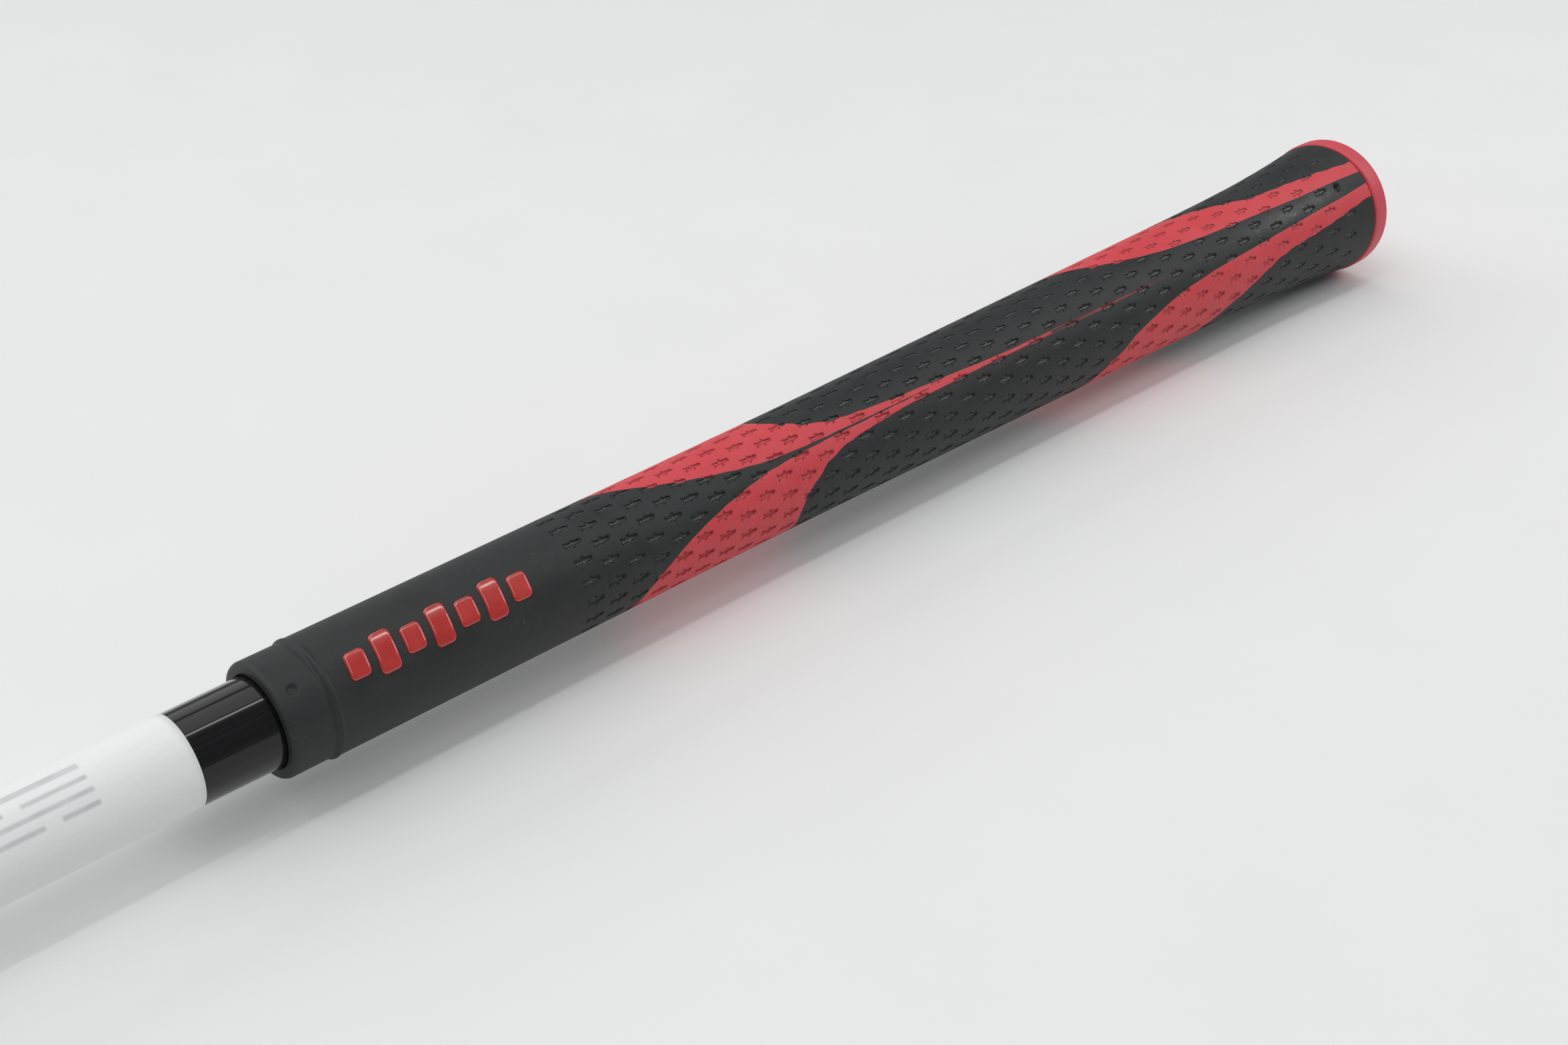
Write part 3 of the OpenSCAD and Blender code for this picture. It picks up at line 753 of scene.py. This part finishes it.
def make_grip(material):
    """Grip sleeve: pits, mouth groove and collar in the surface, then the rolled mouth and bore."""
    around = GRIP_AROUND
    turn = np.linspace(-math.pi, math.pi, around, endpoint=False)
    s = grip_stations()
    S, T = np.meshgrid(s, turn, indexing="ij")
    R = grip_radius(S)
    inside, pit_end = pit_field(S, T, R)
    pits = smooth_step((inside + 0.02) / 0.24) * (0.85 + 0.15 * pit_end)
    dot = dot_depth(S, T, R, DOT_S, DOT_TURN, DOT_R)
    mouth_dot = dot_depth(S, T, R, MOUTH_DOT_S, MOUTH_DOT_TURN, MOUTH_DOT_R)
    sleeve_r = R - PIT_DEPTH * pits - DOT_DEPTH * dot - MOUTH_DOT_DEPTH * mouth_dot
    points = [round_points(CLUB_LENGTH - S, sleeve_r, T)]
    stripes = stripe_field(S, T)
    away = np.abs(T - centre_lean(S)) * R
    apart = LINE_APART * smooth_step((S - 66) / 40)
    line = LINE_HALF - np.abs(away - apart)
    line = np.minimum(line, np.minimum(S - CENTRE_LINE[0], CENTRE_LINE[1] - S))
    scuffed = np.exp(-((T / math.radians(9)) ** 2)) * smooth_step((S - 9) / 8) * smooth_step((58 - S) / 26)
    fields = {
        "stripe": (stripes, -5), "pit": (inside, -1), "pit_end": (pit_end, 0), "dot": (dot, 0),
        "line": (line, -1), "line_share": (0.18 + 0.75 * smooth_step((S - 62) / 60), 0),
        "scuffed": (scuffed, 0),
    }
    # Rolled mouth, flat end face and the bore, as further rings
    bore = SHAFT_MOUTH_R + 0.05
    tail = [
        (GRIP_LENGTH - 0.5, COLLAR_R - 0.06), (GRIP_LENGTH - 0.2, COLLAR_R - 0.22),
        (GRIP_LENGTH - 0.03, COLLAR_R - 0.5), (GRIP_LENGTH, COLLAR_R - 0.75),
        (GRIP_LENGTH, bore + 0.35), (GRIP_LENGTH - 0.1, bore + 0.1), (GRIP_LENGTH - 0.4, bore),
        (GRIP_LENGTH - 12, bore), (END_THICK + 4, bore + 0.3), (END_THICK + 0.02, bore + 0.3),
    ]
    for at, r in tail:
        points.append(round_points(np.full(around, CLUB_LENGTH - at), np.full(around, r), turn))
    faces = closed_faces(len(s) + len(tail), around)
    grip = make_mesh("grip", np.concatenate(points), faces, material)
    for name, (values, rest) in fields.items():
        add_floats(grip, name, np.concatenate([values.ravel(), np.full(len(tail) * around, rest)]))
    return piece(grip, "shaft_assembly", "grip_rubber", "grip_sleeve")


def lathe(name, line, around, material):
    """A closed ring of revolution from (x, radius) points, first joined to last."""
    turn = np.linspace(-math.pi, math.pi, around, endpoint=False)
    points = np.concatenate([round_points(np.full(around, x), np.full(around, r), turn) for x, r in line])
    return make_mesh(name, points, closed_faces(len(line), around), material)


def arc(cx, cr, radius, start, end, steps):
    """Points of a round corner in the (x, radius) plane, angles in degrees."""
    return [
        (cx + radius * math.cos(math.radians(start + (end - start) * k / steps)),
         cr + radius * math.sin(math.radians(start + (end - start) * k / steps)))
        for k in range(steps + 1)
    ]


def make_end(material):
    """End piece: rounded rim, faintly dished face and countersunk vent hole."""
    front = CLUB_LENGTH - END_THICK
    back = CLUB_LENGTH
    line = [(front, VENT_R), (front, END_R - 3), (front, END_R - 0.5)]
    line += arc(front + 0.45, END_R - 0.5, 0.45, 180, 90, 5)
    line += [(front + 1.6, END_R - 0.04), (front + 2.6, END_R - 0.05)]
    line += arc(back - 1.2, END_R - 1.27, 1.2, 88, 2, 9)
    line += [(back - 0.02, END_R - 1.9), (back - 0.16, END_R - 2.6), (back - 0.3, END_R - 4.5)]
    line += [(back - 0.3, 6.0), (back - 0.3, 3.4), (back - 0.05, 2.9), (back - 0.02, 2.2)]
    line += [(back - 0.15, VENT_R + 0.25), (back - 0.5, VENT_R + 0.02), (front + 1, VENT_R)]
    end = lathe("grip_end_cap", line, 160, material)
    return piece(end, "shaft_assembly", "end_rubber", "grip_end")


def make_mark(material):
    """Raised mark: pillow-topped rounded blocks that follow the grip's round surface."""
    pitch = (MARK_S[1] - MARK_S[0]) / len(MARK_HEIGHTS)
    points, faces = [], []
    for k, tall in enumerate(MARK_HEIGHTS):
        half_u = (pitch - MARK_GAP) / 2
        half_v = tall / 2
        middle = MARK_S[0] + (k + 0.5) * pitch
        u = np.linspace(-1, 1, MARK_GRID[0])
        v = np.linspace(-1, 1, MARK_GRID[1])
        U, V = np.meshgrid(u, v, indexing="ij")
        # Squeeze the square grid into a rounded block
        x = U * half_u
        y = V * half_v
        over_x = np.maximum(np.abs(x) - (half_u - MARK_CORNER), 0)
        over_y = np.maximum(np.abs(y) - (half_v - MARK_CORNER), 0)
        reach = np.hypot(over_x, over_y)
        shrink = np.where(reach > 0, np.maximum(over_x, over_y) / np.maximum(reach, 1e-9), 1)
        x = np.sign(x) * (np.abs(x) - over_x + over_x * shrink)
        y = np.sign(y) * (np.abs(y) - over_y + over_y * shrink)
        rim = np.minimum((1 - np.abs(U)) * half_u, (1 - np.abs(V)) * half_v)
        top = MARK_RAISE * np.sqrt(np.clip(1 - (1 - np.clip(rim / MARK_PILLOW, 0, 1)) ** 2, 0, 1))
        S = middle + x + MARK_SLANT * y
        base_r = grip_radius(S)
        first = len(points) and sum(len(p) for p in points)
        points.append(round_points(CLUB_LENGTH - S, base_r - 0.02 + top, y / base_r))
        points.append(round_points(CLUB_LENGTH - S, base_r - 0.25, y / base_r))
        faces += slab_faces(*MARK_GRID, first)
    mark = make_mesh("grip_raised_mark", np.concatenate(points), faces, material)
    return piece(mark, "shaft_assembly", "mark_enamel", "grip_mark")


def shaft_radius(x):
    mouth = CLUB_LENGTH - GRIP_LENGTH
    return np.interp(x, [46, 120, mouth, CLUB_LENGTH - 8], [4.25, 4.25, SHAFT_MOUTH_R, 7.6])


def make_label(material):
    """Paper label wrapped once round the shaft, its far edge lapping over its near edge."""
    x1 = CLUB_LENGTH - GRIP_LENGTH - LABEL_START
    along = np.linspace(x1, x1 - LABEL_LENGTH, LABEL_MESH[0])
    turn = np.linspace(-math.pi, math.pi + LABEL_LAP, LABEL_MESH[1])
    A, T = np.meshgrid(along, turn, indexing="ij")
    base = shaft_radius(A)
    climb = smooth_step((T - math.pi + 0.12) / 0.12)
    lift = 0.012 + LABEL_T * 0.5 * climb
    ripple_h = 0.008 * np.sin(A * 0.9 + 3 * T) * np.sin(T * 2)
    outer = base + lift + LABEL_T * 0.45 + ripple_h
    inner = base + lift
    spin = T - GRIP_ROLL + LABEL_TURN
    points = np.concatenate([round_points(A, outer, spin), round_points(A, inner, spin)])
    label = make_mesh("paper_label", points, slab_faces(*LABEL_MESH), material)
    flat = np.stack([(x1 - A).ravel(), (T * base).ravel(), np.zeros(A.size)], axis=1)
    add_vectors(label, "paper", np.concatenate([flat, flat + [0, LABEL_UNDER, 0]]))
    return piece(label, "shaft_assembly", "label_paper", "shaft_label")


# --------------------
# Head: the same surface as the CAD panels, at a finer grid and with seams between the panels
# --------------------
HEAD_HEIGHT = 60.0
TOE_REACH = 60.0
HEEL_REACH = 62.0
HEAD_DEPTH = 115.0
LOFT = math.radians(10.5)
FACE_RADIUS = 300.0
APEX = (-2.0, 38.0)
FRONT_OVERRUN = 22.0
SKIRT_Z = 28.0
SKIRT_RISE = 2.0
CROWN_ROUND = (2.0, 1.6)
SOLE_ROUND = (2.4, 1.7)
FACE_CENTER_Z = 29.0
FACE_SET_BACK = 3.2
FACE_EDGE = 2.5
HOSEL_X0 = -28.0
HOSEL_B = 17.0
BLEND_H = 13.0
BLEND_W = 11.0
BLEND_FROM = 8.0
BLEND_RUN = 24.0
HOSEL_R = 6.85
SKIN_INSET = 0.10
SEAM_DEPTH = 0.30
PANEL_WALLS = {"face_insert": 2.8, "head_body": 1.2}
PANEL_WALL = 0.9
FACE_TURNS = (232.5, 307.5)
TOE_TURNS = (-15.0, 75.0)
HEEL_TURNS = (105.0, 195.0)
# Chevron on the crown: distance of its tips behind the face frame's origin, and their reach to the side
AIM_MARK = (17.5, 7.0)


def head_vector(x, b, z):
    """Head-frame x to the toe, b to the back and z up, as a club-frame vector."""
    c, s = math.cos(LIE), math.sin(LIE)
    return np.stack([-c * x + s * z, b, s * x + c * z], axis=-1)


def head_skin(phi, psi):
    """Point of the outer surface; psi is 90 degrees at the crown apex and -90 at the sole."""
    phi, psi = np.radians(phi), np.radians(psi)
    c, s = np.cos(phi), np.sin(phi)
    rx = np.where(c > 0, TOE_REACH - APEX[0], HEEL_REACH + APEX[0])
    rb = np.where(s > 0, HEAD_DEPTH - APEX[1], APEX[1] + FRONT_OVERRUN)
    n = np.where(s > 0, 2.15, 2.2)
    outline = ((np.abs(c) / rx) ** n + (np.abs(s) / rb) ** n) ** (-1 / n)
    up = psi >= 0
    r = np.maximum(np.cos(psi), 1e-6) ** (2 / np.where(up, CROWN_ROUND[0], SOLE_ROUND[0]))
    h = np.abs(np.sin(psi)) ** (2 / np.where(up, CROWN_ROUND[1], SOLE_ROUND[1]))
    x = APEX[0] + r * outline * c
    z = SKIRT_Z + SKIRT_RISE * s * r * np.cos(psi) + np.where(up, (HEAD_HEIGHT - SKIRT_Z) * h, -SKIRT_Z * h)
    drop = z - FACE_CENTER_Z
    face = FACE_SET_BACK + drop * math.tan(LOFT) + (x * x + drop * drop) / (2 * FACE_RADIUS)
    b = APEX[1] + r * outline * s
    b = (b + face + np.sqrt((b - face) ** 2 + FACE_EDGE**2)) / 2
    p = head_vector(x - HOSEL_X0, b - HOSEL_B, z)
    near = np.hypot(p[..., 1], p[..., 2])
    share = smooth_step((p[..., 0] - BLEND_FROM) / BLEND_RUN)
    p[..., 0] += BLEND_H * share * np.exp(-((near / BLEND_W) ** 2))
    return p


def head_normal(phi, psi):
    d = 0.4
    a = head_skin(phi + d, psi) - head_skin(phi - d, psi)
    b = head_skin(phi, psi + d) - head_skin(phi, psi - d)
    n = np.cross(b, a)
    return n / np.maximum(np.linalg.norm(n, axis=-1, keepdims=True), 1e-9)


def front_share(phi):
    return smooth_step((-np.sin(np.radians(phi)) + 0.15) / 0.75)


def panel_edges(phi):
    """Height angles of the panel edges at a turn about the apex."""
    w = front_share(phi)
    whole = np.ones_like(w)
    return np.stack([
        88.5 * whole,
        14 + (65 - 14) * w,
        9 + (47 - 9) * w,
        -8 + (-46 + 8) * w,
        -22 + (-62 + 22) * w,
        -82 * whole,
        -88.5 * whole,
    ])


BANDS = [26, 5, 24, 6, 20, 3]


def head_grid():
    """Turns, rows as (band, share) and the owner of each cell."""
    cuts = sorted({t % 360 for t in FACE_TURNS + TOE_TURNS + HEEL_TURNS})
    turns = set()
    for a, b in zip(cuts, cuts[1:] + [cuts[0] + 360]):
        steps = max(2, round((b - a) / 2.2))
        turns.update((a + 0.35 + (b - a - 0.7) * k / steps) % 360 for k in range(steps + 1))
        turns.add(a % 360)
    turns = np.array(sorted(turns))
    rows = []
    for band, count in enumerate(BANDS):
        near = 0.35 / [51, 18, 40, 16, 50, 7][band]
        shares = [0.0] + list(np.linspace(near, 1 - near, count))
        rows += [(band, share) for share in shares]
    rows.append((len(BANDS) - 1, 1.0))
    return turns, rows


def in_turns(turn, pair):
    return (turn - pair[0]) % 360 < (pair[1] - pair[0]) % 360


def head_owner(turn, band):
    if band == 0:
        return "crown_panel"
    if band == 2 and in_turns(turn, FACE_TURNS):
        return "face_insert"
    if band == 4 and in_turns(turn, TOE_TURNS):
        return "sole_panel_toe"
    if band == 4 and in_turns(turn, HEEL_TURNS):
        return "sole_panel_heel"
    return "head_body"


def build_head():
    """Every head panel as a closed thin solid, with a seam sunk where two panels meet."""
    turns, rows = head_grid()
    n = len(turns)
    edges = panel_edges(turns)
    band = np.array([r[0] for r in rows])
    share = np.array([r[1] for r in rows])
    psi = edges[band] + (edges[band + 1] - edges[band]) * share[:, None]
    phi = np.broadcast_to(turns, psi.shape)
    skin = head_skin(phi, psi)
    normal = head_normal(phi, psi)
    mids = (turns + np.roll(turns, -1) + np.where(np.arange(n) == n - 1, 360, 0)) / 2
    owner = [[head_owner(m % 360, b) for m in mids] for b in band[:-1]]
    owner = [["crown_panel"] * n] + owner + [["head_body"] * n]
    owner = np.array(owner)
    touching = [owner[:-1], owner[1:], np.roll(owner[:-1], 1, axis=1), np.roll(owner[1:], 1, axis=1)]
    seam = np.zeros(skin.shape[:2], bool)
    for other in touching[1:]:
        seam |= touching[0] != other
    outer = skin - normal * (SKIN_INSET + SEAM_DEPTH * seam)[..., None]
    top = head_skin(np.array(0.0), np.array(89.99))
    low = head_skin(np.array(0.0), np.array(-89.99))
    count = outer.shape[0]
    layer = count * n + 2
    made = {}
    for name in ("crown_panel", "face_insert", "sole_panel_toe", "sole_panel_heel", "head_body"):
        wall = PANEL_WALLS.get(name, PANEL_WALL)
        inner = skin - normal * wall
        sunk = wall * head_vector(0, 0, 1)
        points = np.concatenate([
            outer.reshape(-1, 3), top[None], low[None],
            inner.reshape(-1, 3), (top - sunk)[None], (low + sunk)[None],
        ])
        faces = []
        mine = owner == name

        def at(i, j):
            return j * n + i % n

        for j in range(-1, count):
            for i in range(n):
                if not mine[j + 1][i]:
                    continue
                if j == -1:
                    loop = [at(i, 0), at(i + 1, 0), layer - 2]
                elif j == count - 1:
                    loop = [at(i, j), layer - 1, at(i + 1, j)]
                else:
                    loop = [at(i, j), at(i, j + 1), at(i + 1, j + 1), at(i + 1, j)]
                faces.append(loop)
                faces.append([v + layer for v in reversed(loop)])
                sides = []
                if j >= 0 and not mine[j][i]:
                    sides.append((at(i + 1, j), at(i, j)))
                if j < count - 1 and not mine[j + 2][i]:
                    sides.append((at(i, j + 1), at(i + 1, j + 1)))
                if 0 <= j < count - 1 and not mine[j + 1][(i + 1) % n]:
                    sides.append((at(i + 1, j + 1), at(i + 1, j)))
                if 0 <= j < count - 1 and not mine[j + 1][(i - 1) % n]:
                    sides.append((at(i, j), at(i, j + 1)))
                for a, b in sides:
                    faces.append([a, b, b + layer, a + layer])
        used = np.unique(np.concatenate([np.array(f) for f in faces]))
        renumber = {int(old): new for new, old in enumerate(used)}
        made[name] = (points[used], [[renumber[v] for v in f] for f in faces])
    return made


def at_port(turn, height):
    """Middle and outward normal of a sole port."""
    turn, height = np.array(float(turn)), np.array(float(height))
    return head_skin(turn, height), head_normal(turn, height)


def cutter(name, start, end, radius, around=96):
    """A cylinder between two club-frame points, used to cut a round opening."""
    start, end = np.asarray(start, float), np.asarray(end, float)
    axis = (end - start) / np.linalg.norm(end - start)
    side = np.cross(axis, [0, 0, 1] if abs(axis[2]) < 0.9 else [1, 0, 0])
    side /= np.linalg.norm(side)
    other = np.cross(axis, side)
    angle = np.linspace(0, 2 * math.pi, around, endpoint=False)
    ring = radius * (np.cos(angle)[:, None] * side + np.sin(angle)[:, None] * other)
    points = np.concatenate([start + ring, end + ring])
    faces = [list(f) for f in ring_faces(2, around)]
    faces += [list(range(around))[::-1], list(range(around, 2 * around))]
    return make_mesh(name, points, faces, bpy.data.materials["cut_wall"], smooth=False)


# Sole ports: turn about the apex, height angle, radius and depth of the cut
FRONT_PORT = (270, -75, 9.63, 12)
REAR_PORT = (90, -34, 11.63, 14)


def cut_head_body(obj):
    """Open the body for the hosel and the two sole ports."""
    tools = [cutter("cut_hosel", (-5, 0, 0), (75, 0, 0), HOSEL_R + 0.06)]
    for turn, height, radius, depth in (FRONT_PORT, REAR_PORT):
        p, n = at_port(turn, height)
        tools.append(cutter("cut_port", p + n * 6, p - n * depth, radius))
    for tool in tools:
        modifier = obj.modifiers.new("cut", "BOOLEAN")
        modifier.operation = "DIFFERENCE"
        modifier.solver = "MANIFOLD"
        modifier.object = tool
        bpy.context.view_layer.objects.active = obj
        bpy.ops.object.modifier_apply(modifier=modifier.name)
    for tool in tools:
        bpy.data.objects.remove(tool, do_unlink=True)


def make_head(materials):
    bpy.data.materials.new("cut_wall")
    for name, (points, faces) in build_head().items():
        obj = make_mesh(f"{name}_shell", points, faces, materials[name][1])
        add_head_places(obj)
        if name == "head_body":
            cut_head_body(obj)
            obj.data.materials.clear()
            obj.data.materials.append(materials[name][1])
        sharpen(obj, 35)
        piece(obj, "head", materials[name][0], name)


def add_head_places(obj):
    """Head-frame millimetres of every point, for the weave and the scored lines."""
    n = len(obj.data.vertices)
    world = np.empty(n * 3, dtype=np.float32)
    obj.data.vertices.foreach_get("co", world)
    club = (world.reshape(-1, 3) - np.array(GROUND_POINT)) / MM @ REST
    x = -math.cos(LIE) * club[:, 0] + math.sin(LIE) * club[:, 2] + HOSEL_X0
    z = math.sin(LIE) * club[:, 0] + math.cos(LIE) * club[:, 2]
    add_vectors(obj, "head", np.stack([x, club[:, 1] + HOSEL_B, z], axis=1))


def sharpen(obj, degrees):
    """Smooth shading with hard edges above an angle."""
    obj.data.shade_smooth()
    bm = bmesh.new()
    bm.from_mesh(obj.data)
    limit = math.radians(degrees)
    for edge in bm.edges:
        edge.smooth = not (len(edge.link_faces) == 2 and edge.calc_face_angle(0) > limit)
    bm.to_mesh(obj.data)
    bm.free()


# --------------------
# Floor and light
# --------------------
SKY_COLOUR = (0.95, 0.97, 1.0, 1)
SKY_STRENGTH = 0.24


def make_floor():
    g = Graph("floor_paper")
    place = g.place()
    g.set("Base Color", g.mix(g.noise(place, 30, 3.0), (0.80, 0.80, 0.795), (0.83, 0.83, 0.825)))
    g.set("Roughness", 0.7)
    g.set("Normal", g.bump(g.noise(place, 1200, 3.0), 0.06, 0.0002))
    size, rise, bend = 6.0, 3.0, 0.8
    profile = [(-size, 0.0), (0.0, 0.0), (size - bend, 0.0)]
    for a in np.linspace(0.15, math.pi / 2, 12):
        profile.append((size - bend + bend * math.sin(a), bend - bend * math.cos(a)))
    profile.append((size, rise))
    points, faces = [], []
    for y, z in profile:
        points += [(-size, y, z), (size, y, z)]
    for k in range(len(profile) - 1):
        faces.append((2 * k, 2 * k + 1, 2 * k + 3, 2 * k + 2))
    mesh = bpy.data.meshes.new("floor")
    mesh.from_pydata(points, [], faces)
    mesh.materials.append(g.material)
    mesh.shade_smooth()
    floor = bpy.data.objects.new("floor", mesh)
    bpy.context.scene.collection.objects.link(floor)


def make_light(name, where, aim, power, size, size_y):
    """A soft rectangular light with its first side level."""
    data = bpy.data.lights.new(name, "AREA")
    data.shape = "RECTANGLE"
    data.size = size
    data.size_y = size_y
    data.energy = power
    back = (Vector(where) - Vector(aim)).normalized()
    side = Vector((1, 0, 0)) - back.x * back
    side.normalize()
    light = bpy.data.objects.new(name, data)
    turn = Matrix((side, back.cross(side), back)).transposed().to_4x4()
    light.matrix_world = Matrix.Translation(where) @ turn
    bpy.context.scene.collection.objects.link(light)


def make_lights():
    world = bpy.data.worlds.new("studio")
    world.use_nodes = True
    sky = world.node_tree.nodes["Background"]
    sky.inputs["Color"].default_value = SKY_COLOUR
    sky.inputs["Strength"].default_value = SKY_STRENGTH
    bpy.context.scene.world = world
    middle = BUTT + Vector((-0.13, 0, 0))
    make_light("key_softbox", middle + Vector((-0.25, 0.45, 1.35)), middle, 6.4, 1.6, 1.1)
    make_light("rear_softbox", middle + Vector((-0.1, 1.3, 0.75)), middle, 3.6, 1.8, 0.8)
    make_light("sheen_softbox", middle + Vector((0.64, -0.36, 0.52)), middle, 1.5, 0.35, 0.35)
    mouth = BUTT + Vector((-0.275, 0, 0))
    make_light("strip", mouth + Vector((0.30, -0.10, 0.84)), mouth, 1.5, 1.2, 0.06)
    head = Vector((BUTT.x - CLUB_LENGTH * MM, 0, 0.05))
    make_light("head_softbox", head + Vector((-0.1, -0.4, 1.5)), head, 10.5, 1.5, 1.5)
    make_light("head_rear", head + Vector((-0.2, 1.4, 0.8)), head, 6, 1.7, 0.9)


def set_look():
    settings = bpy.context.scene.view_settings
    settings.view_transform = "Standard"
    settings.look = "None"
    settings.exposure = 0
    settings.gamma = 1


# --------------------
# Build
# --------------------
make_camera()
make_floor()
make_lights()
set_look()

make_grip(grip_rubber())
make_end(end_rubber())
make_mark(mark_enamel())
make_label(label_paper())

CARBON = woven_carbon("crown_carbon", 1.7, 0.12, aim=True)
SOLE_CARBON = woven_carbon("sole_carbon", 1.7, 0.15)
BODY_PAINT = painted_titanium()
make_head({
    "crown_panel": ("crown_carbon", CARBON),
    "face_insert": ("face_titanium", brushed_face()),
    "sole_panel_toe": ("sole_carbon", SOLE_CARBON),
    "sole_panel_heel": ("sole_carbon", SOLE_CARBON),
    "head_body": ("titanium_body", BODY_PAINT),
})

def on_joint(name, joint, tint, rough):
    """Turned metal about a joint's axis."""
    row = JOINTS[joint]
    return turned_metal(name, tint, rough, row["pos_m"], row["axis"])


def on_shaft(name, tint, rough):
    return turned_metal(name, tint, rough, GROUND_POINT, SHAFT_AXIS)


NODE_LOOKS = {
    "shaft": shaft_lacquer(),
    "hosel_tube": BODY_PAINT,
    "ferrule": plain_plastic("ferrule_plastic", (0.006, 0.006, 0.0065), 0.14, 0.6),
    "hosel_sleeve": on_shaft("anodised", (0.045, 0.045, 0.05), 0.30),
    "adjust_ring": on_shaft("ring_metal", (0.55, 0.56, 0.58), 0.26),
    "thread_insert": on_shaft("insert_brass", (0.72, 0.50, 0.20), 0.3),
    "hosel_screw": on_shaft("screw_steel", STEEL, 0.26),
    "screw_washer": plain_plastic("washer_rubber", (0.02, 0.02, 0.02), 0.55),
    "grip_tape": plain_plastic("tape", (0.62, 0.56, 0.40), 0.7),
}
for end in ("front", "rear"):
    turn = f"{end}_weight_screw_turn"
    NODE_LOOKS[f"{end}_weight"] = on_joint(f"{end}_weight_metal", turn, (0.42, 0.42, 0.44), 0.3)
    NODE_LOOKS[f"{end}_weight_screw"] = on_joint(f"{end}_screw_steel", turn, STEEL, 0.26)
    NODE_LOOKS[f"{end}_weight_port"] = on_joint(f"{end}_port_metal", turn, (0.10, 0.10, 0.105), 0.38)
for node_name, look in NODE_LOOKS.items():
    for material_slot in frame["nodes"][node_name].material_slots:
        material_slot.material = look
